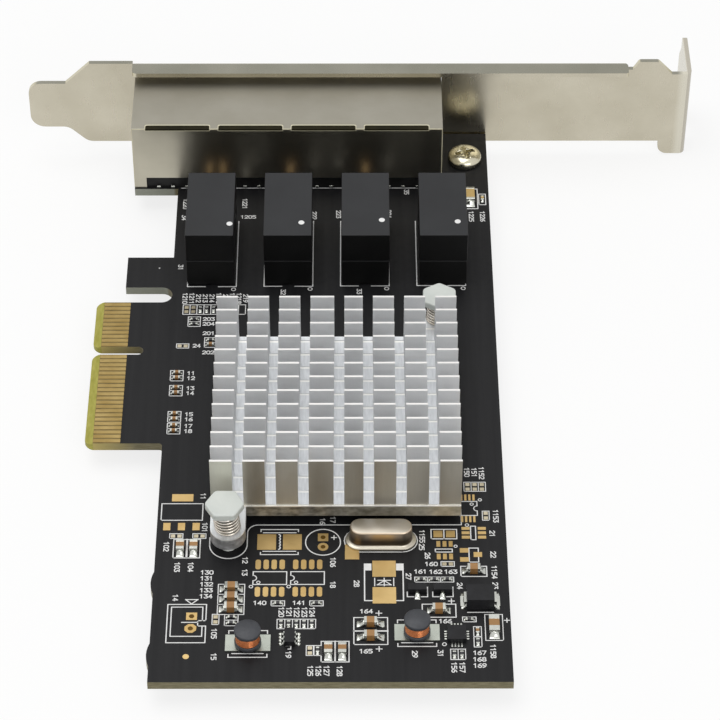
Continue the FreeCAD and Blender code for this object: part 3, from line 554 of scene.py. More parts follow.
def numbers(place, angle, *labels):
    """Plain numbers, each centred on its own place."""
    height = 0.74
    pitch, across = 0.95 * height, 0.7 * height
    for value, x, y in labels:
        text = str(value)
        ink.at(*place(x, y), 0, angle)
        for i, digit in enumerate(text):
            shift = (i - (len(text) - 1) / 2) * pitch - across / 2
            ink.stroke([(shift + u / 0.6 * across, (v - 0.5) * height) for u, v in DIGITS[digit]], 0.15)
    ink.at()


def trace(place, *points, width=INK_W, height=INK):
    """Printed line through points that are counted from a place."""
    ink.stroke([(place[0] + u, place[1] + v) for u, v in points], width, height=height)


def outline(place, size_x, size_y, width=INK_W):
    """Printed rectangle with its low corner at a place."""
    trace(place, (0, 0), (size_x, 0), (size_x, size_y), (0, size_y), (0, 0), width=width)


def arc(x, y, r, width, sides, first=0.0, last=360.0):
    """Printed circle or arc."""
    ink.at(x, y).ring(r - width / 2, r + width / 2, INK, sides, first, last)
    ink.at()


def chip_frame(place, length, width, angle=0.0, cells=1):
    """Outline round a row of chip parts; cells stack across the parts' length."""
    ink.at(*place, 0, angle)
    half, side = length / 2, width * cells / 2
    outline((-half, -side), length, width * cells, FINE_W)
    for i in range(1, cells):
        trace((-half, -side + i * width), (0, 0), (length, 0), width=FINE_W)
    ink.at()


def plus(place, size):
    """Plus mark."""
    half = size / 2
    trace(place, (-half, 0), (half, 0), width=0.16)
    trace(place, (0, -half), (0, half), width=0.16, height=INK * 1.3)


def small_circle(place, r):
    """Circle that marks a pin 1."""
    arc(*place, r, FINE_W, 20)


def rails(place, arm):
    """Two facing brackets that hold an inductor's place between them."""
    for side in (-1, 1):
        end, rail = side * (RAIL - arm), side * RAIL
        trace(place, (-3.0, end), (-3.0, rail), (3.0, rail), (3.0, end))


def print_inductor_marks(place):
    """Brackets about a drum inductor, with a second line at the near one."""
    rails(place, 0.6)
    trace(place, (-2.4, 0.75 - RAIL), (2.4, 0.75 - RAIL))


def print_coil_marks(place):
    """Brackets and coil sign between the two large pads of the empty inductor."""
    rails(place, 0.45)
    for y in (0.7 - RAIL, RAIL - 0.7):
        trace(place, (-2.6, y), (2.6, y))
    for i in range(5):
        arc(place[0] - 0.2, place[1] + 1.3 - 0.64 * i, 0.33, 0.18, 12, -90, 90)


def print_header_marks():
    """Keyed outline, arrow and centre line of the empty two-pin header."""
    place = power(2.5, -25.1)
    trace(place, (6.05, 4.5), (6.05, 7.85), (0, 7.85), (0, 0), (6.05, 0), (6.05, 3.4))
    trace(place, (5.5, 4.5), (5.5, 7.3), (0.6, 7.3), (0.6, 1.3), (5.5, 1.3), (5.5, 3.4))
    for y in (3.4, 4.5):
        trace(place, (6.05, y), (4.8, y))
    trace(place, (4.8, 3.4), (4.8, 4.5))
    trace(place, (2.3, 4.15), (4.8, 4.15))
    trace(power(6.2, -16.7), (-0.95, 0.45), (0.95, 0.45), (0, -0.45), (-0.95, 0.45))


def print_eight_lead_marks(x, y):
    """Outline of an empty eight-lead footprint, its notch on the left."""
    trace((x, y), (-2.65, 0.55), (-2.65, 1.35), (2.65, 1.35), (2.65, -1.35), (-2.65, -1.35),
          (-2.65, -0.55))
    arc(x - 2.65, y, 0.55, 0.16, 14, -90, 90)
    small_circle((x - 1.8, y - 0.9), 0.26)
    small_circle((x - 2.95, y - 1.8), 0.28)


def print_crystal_outline():
    """Line round the crystal's flange."""
    low, high = edges_of("crystal_can")
    rim = stadium(high[0] - low[0] + 0.35, high[1] - low[1] + 0.45, 10)
    trace(middle_of("crystal_can"), *rim, rim[0], width=0.15)


def print_power_section():
    """Marks between the heat sink and the near edge."""
    outline(power(0.6, 0.7), 6.65, 3.65)
    outline(power(2.85, -7.45), 4.25, 3.95)
    trace(power(5.0, -7.45), (0, 0), (0, 3.95), width=0.3)
    chip_frame(power(12.35, -16.2), 4.15, 2.1, 0, 3)
    chip_frame(power(12.5, -20.5), 2.1, 1.15, 0, 2)
    chip_frame(power(10.05, -20.35), 2.1, 1.05, 90)
    for x, y in ((3.2, -2.75), (6.9, -2.75), (19.7, -17.05), (25.75, -17.05)):
        chip_frame(power(x, y), 2.1, 1.05)
    for x in (24.8, 26.0):
        chip_frame(power(x, -26.7), 2.0, 1.1, 90)
    for i in range(5):
        chip_frame(power(20.25 + 1.2 * i, -21.3), 1.95, 1.2, 90)
    print_header_marks()
    for x in EIGHT_LEAD_X:
        print_eight_lead_marks(*power(x, -11.75))
    print_coil_marks(power(19.75, -4.05))
    arc(*power(26.7, -4.1), 2.785, INK_W, 64)
    print_crystal_outline()
    plus(power(28.45, -3.1), 0.8)
    print_inductor_marks(power(15.2, -25.35))
    print_inductor_marks(power(41.4, -23.2))
    trace(power(21.1, -25.75), (0, 0), (0.75, 0), (0.75, -0.65), (0.35, -0.65))
    outline(power(26.55, -29.0), 4.3, 4.15)
    trace(power(28.7, -29.0), (0, 0), (0, 4.15), width=0.25)
    numbers(power, -90, (11, 7.2, 6.0), (101, 7.7, -0.85), (102, 1.7, -5.0), (103, 3.6, -9.4),
            (104, 5.75, -9.4), (12, 14.35, -7.95), (13, 14.35, -10.55), (14, 3.6, -15.85),
            (105, 9.9, -23.25), (15, 10.0, -27.9), (16, 26.6, 0.45), (17, 28.25, 0.8), (106, 28.3, -8.4),
            (18, 28.3, -13.15), (19, 21.5, -27.5), (125, 24.9, -30.75), (126, 26.15, -30.75),
            (127, 27.4, -30.75), (128, 29.4, -30.8))
    numbers(power, 0, (140, 16.85, -16.95), (141, 23.0, -16.95))
    for i in range(5):
        numbers(power, -90, (120 + i, 20.28 + 1.2 * i, -18.85))
        numbers(power, 0, (130 + i, 8.38, -10.55 - 1.25 * i))


def print_diode_sign(place):
    """Diode sign: two bars, a triangle with its line, and the line through both."""
    for x in (-1.5, 1.5):
        trace(place, (x, -0.8), (x, 0.8), width=0.16)
    trace(place, (-1.1, -0.6), (1.1, -0.6), (0, 0.3), (-1.1, -0.6), width=0.16)
    trace(place, (-1.0, 0.35), (1.0, 0.35), width=0.16)
    trace(place, (0, -0.8), (0, 0.8), width=0.16, height=INK * 1.4)


def print_right_section():
    """Marks of the power section's right half."""
    x0, y0 = power(33.3, -16.5)
    trace((x0, y0), (1.3, 0), (0, 0), (0, 7.7), width=0.2)
    trace((x0, y0), (4.9, 0), (6.1, 0), (6.1, 7.7), width=0.2)
    for x in (x0 - 0.1, x0 + 5.0):
        ink.box(x, x + 1.2, y0 + 6.35, y0 + 7.8, 0, INK * 1.2)
    print_diode_sign(power(36.4, -12.6))
    for x, y, size_x, size_y in ((44.0, -3.4, 4.1, 2.05), (44.6, -6.25, 2.7, 0.65), (50.35, -3.6, 0.8, 2.95),
                                 (49.95, -8.4, 1.5, 3.0), (48.55, -11.45, 4.1, 2.15),
                                 (42.3, -19.95, 5.25, 2.7), (31.6, -25.5, 5.25, 5.5)):
        outline(power(x, y), size_x, size_y)
    trace(power(46.05, -3.4), (0, 0), (0, 2.05))
    trace(power(49.4, -18.95), (0, 0), (4.0, 0))
    trace(power(31.6, -22.75), (0, 0), (5.25, 0), width=0.25)
    for x in (41.6, 45.6):
        trace(power(x, -15.7), (-1.6, 1.0), (-1.6, 0), (-0.6, 0))
        trace(power(x, -15.7), (0.6, 0), (1.6, 0), (1.6, 2.0))
    for x, y, size in ((46.9, -16.6, 0.9), (35.5, -19.1, 0.9), (35.5, -26.4, 0.9), (55.45, -20.6, 0.8)):
        plus(power(x, y), size)
    for x, y, length, width, angle in (
            (46.5, -8.8, 2.1, 1.0, 0), (42.25, -12.1, 2.05, 1.05, 0), (44.3, -12.1, 2.05, 1.05, 0),
            (46.35, -12.1, 2.05, 1.05, 0), (47.1, -27.5, 2.1, 1.15, 90), (48.25, -27.5, 2.1, 1.15, 90),
            (50.8, -22.9, 2.05, 1.2, 90), (50.8, -25.0, 2.05, 1.2, 90), (49.6, -20.4, 2.1, 1.0, 0),
            (53.4, -22.05, 5.3, 2.75, 90), (52.9, 1.65, 2.0, 1.1, 90)):
        chip_frame(power(x, y), length, width, angle)
    for i in range(3):
        outline(power(49.55 + 1.17 * i, 7.05), 1.17, 2.05, 0.13)
    place = power(48.95, 1.7)
    trace(place, (-0.3, 0), (2.6, 0), (2.6, 1.0))
    trace(place, (-0.3, 3.1), (2.6, 3.1), (2.6, 2.1))
    arc(*power(51.55, 3.25), 0.55, 0.16, 14, 90, 270)
    for x, y, r in ((47.85, -5.0, 0.25), (49.8, -0.4, 0.28), (45.6, -25.45, 0.3), (52.05, 5.15, 0.26),
                    (50.7, 4.2, 0.26)):
        small_circle(power(x, y), r)
    numbers(power, -90, (150, 50.1, 11.35), (151, 51.3, 11.3), (1152, 52.5, 11.15), (1153, 54.5, 1.55),
            (21, 53.8, -2.3), (22, 53.8, -6.8), (1154, 53.85, -10.55), (23, 53.9, -13.4), (24, 48.3, -13.45),
            (1155, 42.55, -2.85), (25, 42.45, -5.15), (26, 43.35, -7.05), (27, 40.25, -11.45),
            (28, 32.05, -12.95), (29, 41.0, -27.45), (31, 44.95, -27.3), (156, 47.0, -30.1),
            (157, 48.25, -30.1), (1158, 53.1, -26.9))
    numbers(power, 0, (160, 43.9, -8.8), (161, 42.15, -10.4), (162, 44.55, -10.45), (163, 46.95, -10.45),
            (164, 33.55, -18.7), (165, 33.45, -26.85), (166, 45.85, -20.75), (167, 51.0, -27.2),
            (168, 50.95, -28.5), (169, 50.95, -29.75))


def print_sink_marks():
    """Line round the heat sink's near side and its ear."""
    ear_x, ear_y = middle_of("push_pin_near")
    r, fillet = 3.0, 1.7
    corner_x, corner_y = ear_x + r, SINK_Y - 0.35
    far_x = SINK_LOW[0] + SINK_SIZE + 0.1
    arc(ear_x, ear_y, r, 0.18, 40, -180, 0)
    arc(corner_x + fillet, corner_y - fillet, fillet, 0.18, 14, 90, 180)
    ink.stroke([(corner_x, ear_y), (corner_x, corner_y - fillet)])
    ink.stroke([(ear_x - r, ear_y), (ear_x - r, ear_y + 1.5)])
    ink.stroke([(corner_x + fillet, corner_y), (far_x, corner_y), (far_x, corner_y + 4)])


def print_module_frame(i):
    """Outline round a magnetics module, open at the middle of its near side, with its pin-1 circle."""
    x0, y0 = 15.54 + MARK_PITCH * i, 16.1 + 0.08 * i
    x1, y1 = x0 + 8.5, 33.3
    for side, edge in ((-1, x0), (1, x1)):
        ink.stroke([((x0 + x1) / 2 + side * 1.15, y0), (edge, y0), (edge, y1)])
    small_circle((x1 - 0.45, y0 - 0.7), 0.36)


def print_upper_marks():
    """Marks beside the connector, the magnetics and the jack."""
    for i in range(9):
        chip_frame(lane(2.75 + 1.2 * i, 10.25), 2.4, 1.2, 90)
    for x, y in ((4.2, 7.8), (4.2, 6.6), (7.2, 2.6), (7.2, 1.4)):
        chip_frame(lane(x, y), 2.1, 1.2)
    chip_frame(lane(2.45, 1.15), 2.1, 1.05)
    for i, y in enumerate((-6.12, -9.72, -15.92, -18.67)):
        chip_frame(lane(1.75, y), 2.15, 1.25, 0, 2)
        numbers(lane, 0, (2 * i + 11, 4.15, y + 0.6), (2 * i + 12, 4.15, y - 0.6))
    for i, value in enumerate((1210, 1211, 212, 213, 214, 1215, 216, 1217, 1218, 219)):
        numbers(lane, -90, (value, 2.38 + 1.17 * i, 13.1))
    numbers(lane, 0, (24, 4.85, 1.2), (201, 6.8, 4.3), (202, 6.87, -0.45), (203, 6.7, 7.85),
            (204, 6.7, 6.65), (1205, 12.85, 34.5))
    numbers(lane, -90, (31, 1.3, 21.1), (32, 19.4, 14.7), (33, 32.65, 14.85), (1220, 1.5, 38.05),
            (34, 1.4, 34.3), (1221, 12.15, 38.1), (222, 24.65, 34.9), (223, 29.0, 35.2), (224, 38.0, 35.3),
            (35, 41.25, 41.3), (1225, 52.75, 34.6), (1226, 54.75, 34.6))
    for i in range(4):
        print_module_frame(i)
    ink.stroke([lane(0.6, JACK_LOW[1] - 0.1), (JACK_HIGH[0] - 1.0, JACK_LOW[1] - 0.1)])
    arc(*lane(-2.4, 20.9), 0.08, 0.1, 10)
    outline((BOARD_HIGH[0] - 4.3, 36.7), 2.25, 5.4)
    outline((BOARD_HIGH[0] - 1.82, 37.8), 1.22, 2.9)


print_power_section()
print_right_section()
print_sink_marks()
print_upper_marks()
ink.make("printed_marks", INK_WHITE)

# ---------------- bare pads
shaded_holes = Group()
pads = Group()
tinned = Group()


def bare_pad(place, size_x, size_y, u=0.0, v=0.0, angle=0.0, group=pads):
    """Thin pad about the point u, v of a frame that stands at a place, turned by an angle."""
    group.at(*place, 0, angle).box(u - size_x / 2, u + size_x / 2, v - size_y / 2, v + size_y / 2, 0, PLATE)
    group.at()


def round_end_pad(x, y, size_x, size_y):
    """Pad with rounded corners."""
    r = min(size_x, size_y) * 0.42
    rim = [on_circle(x + side_x * (size_x / 2 - r), y + side_y * (size_y / 2 - r), r, start + 22.5 * i)
           for side_x, side_y, start in ((1, -1, -90), (1, 1, 0), (-1, 1, 90), (-1, -1, 180))
           for i in range(5)]
    pads.prism(rim, 0, PLATE)


def chip_pads(place, angle):
    """Two tinned pads of an empty chip part's place."""
    for side in (-1, 1):
        bare_pad(place, 0.68, 0.68, side * 0.52, 0, angle, tinned)


def disc(group, place, r, z0, z1, sides):
    """Flat round solid."""
    group.at(*place).lathe([(0, z0), (r, z0), (r, z1), (0, z1)], sides)


def make_pads():
    """Footprints that carry no part, and the small plated holes, drawn as dark discs of painted shade."""
    for x in EIGHT_LEAD_X:
        for i in range(4):
            for y in (-14.63, -8.87):
                round_end_pad(*power(x + (i - 1.5) * LEAD_PITCH, y), 0.85, 2.05)
    for side in (-1, 1):
        for i in (-1, 0, 1):
            bare_pad(power(46.1, -5.85), 0.62, 1.2, i * 0.98, side * 1.35)
            bare_pad(power(50.85, -2.1), 0.62, 1.3, i * 0.95, side * 1.3, 90)
    for x, y, angle in ((3.2, -2.75, 0), (6.9, -2.75, 0), (10.05, -20.35, 90), (24.8, -26.7, 90),
                        (46.5, -8.8, 0), (50.13, 8.05, 90), (51.3, 8.05, 90), (52.47, 8.05, 90),
                        (52.9, 1.65, 90)):
        chip_pads(power(x, y), angle)
    for x, y, angle in ((2.75, 10.25, 90), (3.95, 10.25, 90), (8.75, 10.25, 90), (2.45, 1.15, 0)):
        chip_pads(lane(x, y), angle)
    for i in range(4):
        for y in (5.65, 0.9):
            bare_pad(power(49.05 + 0.66 * i, y), 0.36, 1.35)
    bare_pad(power(31.35, -6.2), 2.25, 3.2)
    bare_pad(power(6.3, -19.7), 1.7, 1.5)
    bare_pad(power(26.7, -3.05), 1.66, 1.66)
    corners = [on_circle(0, 0, 1, 45 * i) for i in range(8)]
    pads.at(*power(6.2, -22.2), 0, 22.5).prism([(u, 0.95 * v) for u, v in corners], 0, PLATE)
    disc(pads, power(26.7, -5.1), 0.85, 0, PLATE, 24)
    disc(pads, power(5.7, -27.9), 0.5, 0, PLATE, 24)
    # Dark discs of painted shade over the small plated holes.
    for x, y, r in ((6.3, -19.7, 0.42), (6.2, -22.2, 0.42), (26.7, -3.05, 0.4), (26.7, -5.1, 0.4)):
        disc(shaded_holes, power(x, y), r, 0.01, PLATE + 0.01, 20)
    shaded_holes.make("plated_holes_painted_shade", HOLE_SHADE)
    pads.make("small_bare_pads", PAD)
    tinned.make("tinned_chip_pads", TINNED)


make_pads()

# ---------------- chip parts' ends and solder
caps = Group()
solder = Group()
LARGE = (2.0, 1.25, 1.2)       # length, width and height of the chip parts
LONG = (3.2, 1.6, 1.3)
SMALL = (1.0, 0.52, 0.5)
THIN = (1.0, 0.52, 0.34)
SKIN = 0.02                    # how far metal ends stand proud of the body


def span(a, b):
    """Two places in rising order."""
    return min(a, b), max(a, b)


def end_caps(size, x, y, angle, cap):
    """Metal ends of a chip part, a hair proud of its body; cap is how far they reach over it."""
    length, width, height = size
    caps.at(x, y, 0, angle)
    for side in (-1, 1):
        low, high = span(side * (length / 2 - cap), side * (length / 2 + SKIN))
        caps.box(low, high, -width / 2 - SKIN, width / 2 + SKIN, 0, height + SKIN)
    caps.at()


def fillets(size, x, y, angle, reach, rise=0.8):
    """Solder climbing a chip part's ends: a concave slope with narrowed shoulders.

    reach is how far it goes out, rise which share of the part's height it goes up.
    """
    length, width, height = size
    steps = 6
    solder.at(x, y, 0, angle)
    for side in (-1, 1):
        sections = []
        for i in range(steps + 1):
            t = i / steps
            u = side * (length / 2 + SKIN + reach * t)
            top = height * rise * (1 - t) ** 2.2 + 0.05
            half = width / 2 * (1.12 - 0.12 * (1 - t) ** 2)
            arch = [(u, -half, 0), (u, -half * 0.8, top * 0.8), (u, 0, top), (u, half * 0.8, top * 0.8),
                    (u, half, 0)]
            sections.append(arch[::side])
        solder.sweep(sections)
    solder.at()


def dress(size, cap, reach, rise, *places):
    """Metal ends and solder on chip parts of one size, each given by x, y and angle."""
    for place in places:
        end_caps(size, *place, cap)
        fillets(size, *place, reach, rise)


def powers(angle, *places):
    """Places in the power section with one angle."""
    return [(*power(x, y), angle) for x, y in places]


def lanes(angle, *places):
    """Places from the board's left edge with one angle."""
    return [(*lane(x, y), angle) for x, y in places]


def make_solder():
    """Ends and solder of every chip part, and solder at the leads of the other small parts."""
    upper_y = MODULES[0][1][1]
    dress(LARGE, 0.42, 0.85, 0.8, *powers(0, (12.35, -14.1), (12.35, -16.2), (12.35, -18.3), (44.9, -18.6),
                                          (50.6, -10.3)))
    dress(LARGE, 0.55, 0.85, 0.8, *powers(90, (3.95, -5.45), (6.1, -5.45), (27.65, -26.9), (29.8, -26.9)))
    dress(LARGE, 0.42, 1.15, 0.8, *powers(0, (34.2, -21.35), (34.2, -24.1)))
    dress(LONG, 0.95, 0.8, 0.8, *powers(90, (53.4, -22.0)))
    dress(LONG, 0.5, 0.8, 0.8, (BOARD_HIGH[0] - 3.4, upper_y + 6.4, 90))
    dress(THIN, 0.24, 0.32, 0.9, *powers(90, *[(20.25 + 1.2 * i, -21.3) for i in range(5)], (26.0, -26.7),
                                         (47.1, -27.5), (48.25, -27.5), (50.8, -25.0)),
          *powers(0, (12.5, -19.9), (12.5, -21.1), (19.7, -17.05), (25.75, -17.05), (42.25, -12.1),
                  (44.3, -12.1), (46.35, -12.1), (49.6, -20.4)),
          *lanes(90, (5.15, 10.25), (6.25, 10.25), (7.45, 10.25)),
          *lanes(0, (4.2, 7.8), (4.2, 6.6), (7.2, 2.6)))
    dress(SMALL, 0.24, 0.34, 0.9, *powers(90, (50.8, -22.9)), *lanes(0, (7.2, 1.4)),
          *lanes(0, *[(1.75, y) for y in (-5.5, -6.75, -9.1, -10.35, -15.3, -16.55, -18.05, -19.3)]),
          (BOARD_HIGH[0] - 1.2, upper_y + 6.1, 90))
    fillets((4.3, 3.2, 1.1), 64.25, -56.75, 0, 0.85)
    for x in (54.45, 58.4):
        fillets((1.2, 0.85, 0.8), x, -55.0, 90, 0.75)
    for edge in edges_of("amplifier_leads"):
        for i in range(4):
            y = middle_of("amplifier_leads")[1] + (i - 1.5) * 0.65
            solder.at(edge[0], y).lathe([(0, 0), (0.36, 0), (0.33, 0.1), (0.2, 0.22), (0, 0.26)], 14)
    caps.at(*power(47.55, -23.65))
    for i in range(4):
        low, high = 0.5 * i - 0.89, 0.5 * i - 0.61
        for side in (-1, 1):
            caps.box(side * 1.72 - 0.22, side * 1.72 + 0.22, low, high, 0, 0.12)
            caps.box(low, high, *span(side * 1.5, side * 2.4), 0, 0.12)
    caps.make("chip_part_ends", TIN, 0.05)
    solder.make("solder_fillets", TIN, 0, True)


make_solder()


# ---------------- rounded small parts
def cut(piece, tool):
    """Boolean cut of one piece by another, applied; the tool goes."""
    modifier = piece.modifiers.new("cut", "BOOLEAN")
    modifier.operation = "DIFFERENCE"
    modifier.solver = "EXACT"
    modifier.object = tool
    mesh = applied_mesh(piece)
    piece.modifiers.clear()
    piece.data = mesh
    bpy.data.objects.remove(tool)


def make_screw():
    """Pan-head screw with a cross recess."""
    low, high = edges_of("bracket_screw")
    x, y = middle_of("bracket_screw")
    x, y = x - 0.2, y + 0.55
    r, top, rim = (high[0] - low[0]) / 2, high[2], 0.85
    profile = [(0, low[2]), (1.3, low[2]), (1.48, low[2] + 0.3), (1.48, 0.02), (r - 0.12, 0.02), (r, 0.2),
               (r, rim)]
    for angle in (15, 30, 45, 60, 75):
        a = radians(angle)
        profile.append((r * cos(a) ** 0.6, rim + (top - rim) * sin(a)))
    screw = Group()
    screw.at(x, y).lathe(profile + [(0.5, top), (0, top)], 48)
    body = screw.make("bracket_screw_round", SCREW, 0, True)
    arm, half = 1.75, 0.36
    quarter = [(arm, -half), (arm, half), (half, half)]
    cross = [(u * c - v * s, u * s + v * c)
             for c, s in ((1, 0), (0, 1), (-1, 0), (0, -1)) for u, v in quarter]
    cutter = Group().at(x, y, 0, 18)
    cutter.prism(cross, top - 0.95, top + 1)
    cut(body, cutter.make("cross_cutter", SCREW))
    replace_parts(body, "bracket_screw")


def make_spring(tag, x, y, lean_x, lean_y, top):
    """Round wire coil from the ear up to the pin's head, with closed end turns."""
    low, high = edges_of("pin_spring_" + tag)
    wire, turns, steps = 0.2, 7.5, 20
    clear = wire + 0.01
    r = (high[0] - low[0]) / 2 - clear
    start, height = low[2] + clear, top - low[2] - 2 * clear
    count = int(turns * steps)
    curve = bpy.data.curves.new("spring_path", "CURVE")
    curve.dimensions = "3D"
    curve.bevel_depth = wire * MM
    curve.bevel_resolution = 3
    curve.use_fill_caps = True
    spline = curve.splines.new("POLY")
    spline.points.add(count)
    for i, point in enumerate(spline.points):
        t = i / count
        a = 2 * pi * turns * t + 0.6
        lift = min(max((t - 0.09) / 0.82, 0), 1)
        point.co = ((x + lean_x * lift + r * cos(a)) * MM, (y + lean_y * lift + r * sin(a)) * MM,
                    (start + height * lift) * MM, 1)
    holder = add_object("spring_path", curve)
    mesh = applied_mesh(holder)
    bpy.data.objects.remove(holder)
    spring = add_object("push_pin_spring_" + tag, mesh)
    mesh.materials.clear()
    mesh.materials.append(STEEL)
    mesh.shade_smooth()
    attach(spring, "root")
    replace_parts(spring, "pin_spring_" + tag)


def make_push_pin(tag, lean_x, lean_y, turn):
    """Push pin with its spring; the head leans and turns a little on its shank."""
    low, high = edges_of("push_pin_" + tag)
    x, y = middle_of("push_pin_" + tag)
    top, tip, barb_z = high[2], low[2], SOLDER_Z - 0.02
    under = top - 1.25
    pin = Group().at(x + lean_x, y + lean_y, 0, turn)
    pin.stack([(hexagon(3.2 - inset, 0.75), z) for inset, z in (
        (0.14, under), (0.03, under + 0.06), (0, under + 0.15), (0, top - 0.25), (0.04, top - 0.12),
        (0.15, top - 0.03), (0.3, top))])
    head = pin.make("push_pin_head_" + tag, NYLON)
    shank = Group()
    shank.at(x, y).lathe([(0, tip), (0.55, tip), (0.72, tip + 0.12), (1.82, barb_z - 0.35),
                          (1.88, barb_z - 0.15), (1.8, barb_z), (1.33, barb_z), (1.33, under + 0.1),
                          (0, under + 0.1)], 36)
    body = shank.make("push_pin_shank_" + tag, NYLON, 0, True)
    slit = Group()
    slit.at(x, y, 0, 45).box(-3, 3, -0.25, 0.25, tip - 1, SOLDER_Z + 0.4)
    cut(body, slit.make("slit_" + tag, NYLON))
    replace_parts(head, "push_pin_" + tag)
    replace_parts(body, "push_pin_" + tag)
    make_spring(tag, x, y, lean_x, lean_y, under)


def make_crystal():
    """Drawn can on its rolled flange."""
    length, width, top, r = 9.9, 3.4, edges_of("crystal_can")[1][2], 0.32
    rings = [(stadium(length + grow_x, width + grow_y), z) for grow_x, grow_y, z in (
        (1.3, 1.0, 0.02), (1.45, 1.1, 0.1), (1.45, 1.1, 0.34), (1.3, 1.0, 0.42), (0.5, 0.45, 0.46),
        (0.12, 0.12, 0.62), (0, 0, 0.95), (0, 0, top - r))]
    for angle in (20, 40, 60, 80):
        a = radians(angle)
        inset = r * (1 - cos(a))
        rings.append((stadium(length - 2 * inset, width - 2 * inset), top - r + r * sin(a)))
    can = Group().at(*middle_of("crystal_can"))
    can.stack(rings)
    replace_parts(can.make("crystal_can_round", CRYSTAL, 0, True), "crystal_can")


def make_inductor(tag):
    """Ferrite drum with its copper turns."""
    low, high = edges_of("inductor_core_" + tag)
    place = middle_of("inductor_core_" + tag)
    r, z0, z1 = (high[0] - low[0]) / 2 - 0.12, low[2], high[2]
    core = Group()
    core.at(*place).lathe([(0, z0), (r - 0.12, z0), (r, z0 + 0.12), (r, z0 + 0.62), (r - 0.12, z0 + 0.74),
                           (1.1, z0 + 0.75), (1.1, z1 - 0.75), (r - 0.12, z1 - 0.74), (r, z1 - 0.62),
                           (r, z1 - 0.12), (r - 0.12, z1), (0, z1)], 48)
    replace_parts(core.make("ferrite_drum_" + tag, FERRITE, 0, True), "inductor_core_" + tag)
    turns, first, last = 6, z0 + 0.76, z1 - 0.76
    gap = (last - first) / turns
    profile = [(0, first)]
    for i in range(turns):
        for angle in range(-80, 81, 40):
            a = radians(angle)
            profile.append((1.82 + 0.13 * cos(a), first + gap * (i + 0.5 + 0.5 * sin(a))))
    coil = Group()
    coil.at(*place).lathe(profile + [(0, last)], 48)
    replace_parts(coil.make("copper_turns_" + tag, COPPER, 0, True), "inductor_winding_" + tag)


make_screw()
make_push_pin("near", -0.36, 0.25, 0)
make_push_pin("far", 0.17, 0, 30)
make_crystal()
for tag in INDUCTORS:
    make_inductor(tag)


# ---------------- magnetics
def make_magnetics():
    """Four stepped cases with their leads and first-lead dots, and the small parts behind them."""
    tan, legs, dots = Group(), Group(), Group()
    for x in (18.4, 20.8, 33.1, 46.7):
        tan.box(x - 0.5, x + 0.5, 36.4, 38.9, 0, 0.7)
    tan.make("tan_parts_behind_magnetics", TAN, 0.08)
    for i, (low, high) in enumerate(MODULES):
        x0, x1, y0, y1, z1 = low[0], high[0], low[1], high[1], high[2]
        case = Group()
        case.box(x0, x1, y0 + 0.09, y1, 5.6, z1)
        case.box(x0 + 0.04, x1 - 0.04, y0, y1 - 0.1, 0.25, 5.59)
        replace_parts(case.make("magnetics_case_%d" % (i + 1), CASE, 0.08), "magnetics_module_%d" % (i + 1))
        for lead in range(12):
            y = (y0 + y1) / 2 + (lead - 5.5) * LEAD_PITCH
            for side, edge in ((-1, x0), (1, x1)):
                legs.box(*span(edge - side * 1.1, edge - side * 0.3), y - 0.22, y + 0.22, 0, 0.24)
        disc(dots, DOTS[i], 0.52, z1 - 0.01, z1 + 0.02, 24)
    legs.make("magnetics_leads", TIN, 0.05)
    dots.make("first_lead_dots", INK_WHITE)


make_magnetics()


# ---------------- jack
def bend_slot(group, half, proud, reach, drop):
    """Painted shadow of a slot, or the painted highlight round it: across the bend, round at its far corners.
    """
    roof = JACK_HIGH[2]
    rim = [(-half, -proud), (half, -proud), (half, reach - 0.3), (half - 0.1, reach - 0.1),
           (half - 0.3, reach), (0.3 - half, reach), (0.1 - half, reach - 0.1), (-half, reach - 0.3)]
    group.prism(rim, roof - drop, roof + proud)


def make_jack_trim():
    """Painted shadows in the slots along the shield's rear bend, painted highlights on the edges there, and
    the feet at its foot.
    """
    slot_shadows, edge_highlights, feet = Group(), Group(), Group()
    rear, roof = JACK_LOW[1], JACK_HIGH[2]
    width, proud = 0.16, 0.008
    for centre in PORTS:
        # Painted shadow: a dark piece over each slot along the bend.
        bend_slot(slot_shadows.at(centre, rear), 5.7, 0.024, 1.02, 0.3)
        # Painted highlight round each slot.
        bend_slot(edge_highlights.at(centre, rear), 5.84, 0.01, 1.28, 0.44)
        for i in range(4):
            x = centre + (i - 1.5) * 2 * LEAD_PITCH
            feet.box(x - 0.34, x + 0.34, rear - 0.25, rear - 0.02, 0.35, 0.65)
    edge_highlights.at()
    # Painted highlights along the rear bend and down the rear corners.
    edge_highlights.box(JACK_LOW[0] + 0.05, JACK_HIGH[0] - 0.05, rear - proud, rear + width, roof - width, roof + proud)
    for x in (JACK_LOW[0] - proud, JACK_HIGH[0] + proud - width):
        edge_highlights.box(x, x + width, rear - proud, rear + width, 0.4, roof - 0.1)
    slot_shadows.make("jack_bend_slot_shadows", SHADE)
    edge_highlights.make("jack_painted_edge_highlights", EDGE_HIGHLIGHT, 0.04)
    feet.make("jack_feet", TIN, 0.06)


make_jack_trim()


# ---------------- solder side
def make_solder_side():
    """Solder cones on the back, round the jack's wires and the crystal's leads."""
    back = Group()
    wire_y = edges_of("port_contacts")[0][1] + 0.17
    can_x, can_y = middle_of("crystal_can")
    cones = [(centre + (i - 3.5) * 1.02, wire_y, 0.48, 0.65) for centre in PORTS for i in range(8)]
    cones += [(can_x + side * 2.44, can_y, 0.8, 1.0) for side in (-1, 1)]
    for x, y, r, height in cones:
        back.at(x, y, SOLDER_Z).lathe([(0, -height), (0.24, -height), (0.34, -height * 0.55),
                                       (0.55 * r, -height * 0.25), (0.85 * r, -0.08), (r, -0.02), (r, 0),
                                       (0, 0)], 20)
    back.make("solder_cones", TIN, 0, True)


make_solder_side()


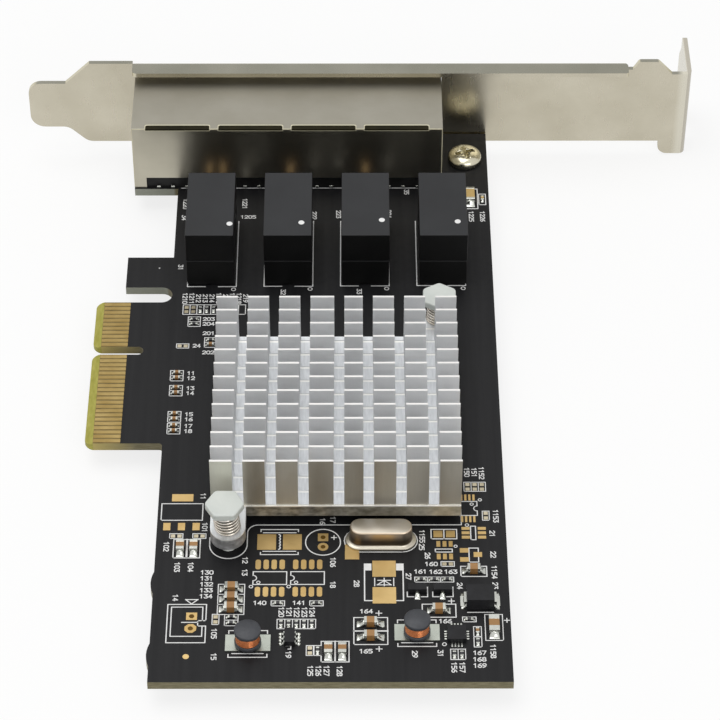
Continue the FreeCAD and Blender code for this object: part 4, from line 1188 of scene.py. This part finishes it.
# ---------------- camera, floor and light
def make_camera():
    """Camera at the fitted place; forward and right are its axes."""
    camera = add_object("camera", bpy.data.cameras.new("camera"))
    camera.data.sensor_width = 36.0
    camera.data.lens = 147.82
    camera.data.clip_start = 0.01
    right = Vector((0.99999, -0.00283, 0.00162)).normalized()
    forward = Vector((0.00316, 0.71889, -0.69512)).normalized()
    up = right.cross(forward).normalized()
    right = forward.cross(up)
    turned = Matrix((right, up, -forward)).transposed().to_4x4()
    camera.matrix_world = Matrix.Translation(Vector((43.987, -363.53, 349.267)) * MM) @ turned
    bpy.context.scene.camera = camera


def seen_directly(look):
    """1 for rays of the camera, of reflections and of clear materials, otherwise 0."""
    rays = look.add("LightPath").outputs
    indirect = look.number("MAXIMUM", rays["Is Glossy Ray"], rays["Is Transmission Ray"])
    return look.number("MAXIMUM", rays["Is Camera Ray"], indirect)


def mix_shaders(look, factor, first, second, output):
    """Sends a mix of two shaders to an output node."""
    mix = look.add("MixShader", {0: factor, 1: first.outputs[0], 2: second.outputs[0]})
    look.feed(look.tree.nodes[output], {"Surface": mix.outputs[0]})


def make_floor():
    """Pale floor that shows white and keeps a soft shadow."""
    z, reach = cad_box[0][2] - 0.0002, 3
    mesh = bpy.data.meshes.new("floor")
    mesh.from_pydata([(-reach, -reach, z), (reach, -reach, z), (reach, reach, z), (-reach, reach, z)], [],
                     [(0, 1, 2, 3)])
    floor = add_object("floor", mesh)
    look = new_look("pale_floor")
    look.feed(look.shader, {"Base Color": (0.86, 0.86, 0.85, 1), "Roughness": 0.8})
    glow = look.add("Emission", {"Color": (1, 1, 1, 1)})
    mix_shaders(look, look.times(seen_directly(look), 0.8), look.shader, glow, "Material Output")
    mesh.materials.append(look.owner)


def make_world():
    """White surroundings that light the card more softly than they show."""
    look = Look(bpy.data.worlds.new("studio"))
    bpy.context.scene.world = look.owner
    soft = look.feed(look.tree.nodes["Background"], {"Color": (1, 1, 1, 1), "Strength": 0.55})
    shown = look.add("Background", {"Color": (1, 1, 1, 1)})
    mix_shaders(look, seen_directly(look), soft, shown, "World Output")


def softbox(name, place, size, watts):
    """Square area lamp aimed at the middle of the card; places in metres."""
    lamp = add_object(name, bpy.data.lights.new(name, "AREA"))
    lamp.data.shape = "SQUARE"
    lamp.data.size = size
    lamp.data.energy = watts
    lamp.location = place
    aim = Vector((0.04, -0.005, 0)) - Vector(place)
    lamp.rotation_euler = aim.to_track_quat("-Z", "Y").to_euler()


make_camera()
make_floor()
make_world()
softbox("overhead", (-0.15, 0.1, 0.75), 0.6, 3.0)
softbox("front_fill", (0.35, -0.7, 0.5), 0.5, 2.0)

bpy.context.scene.view_settings.view_transform = "Standard"
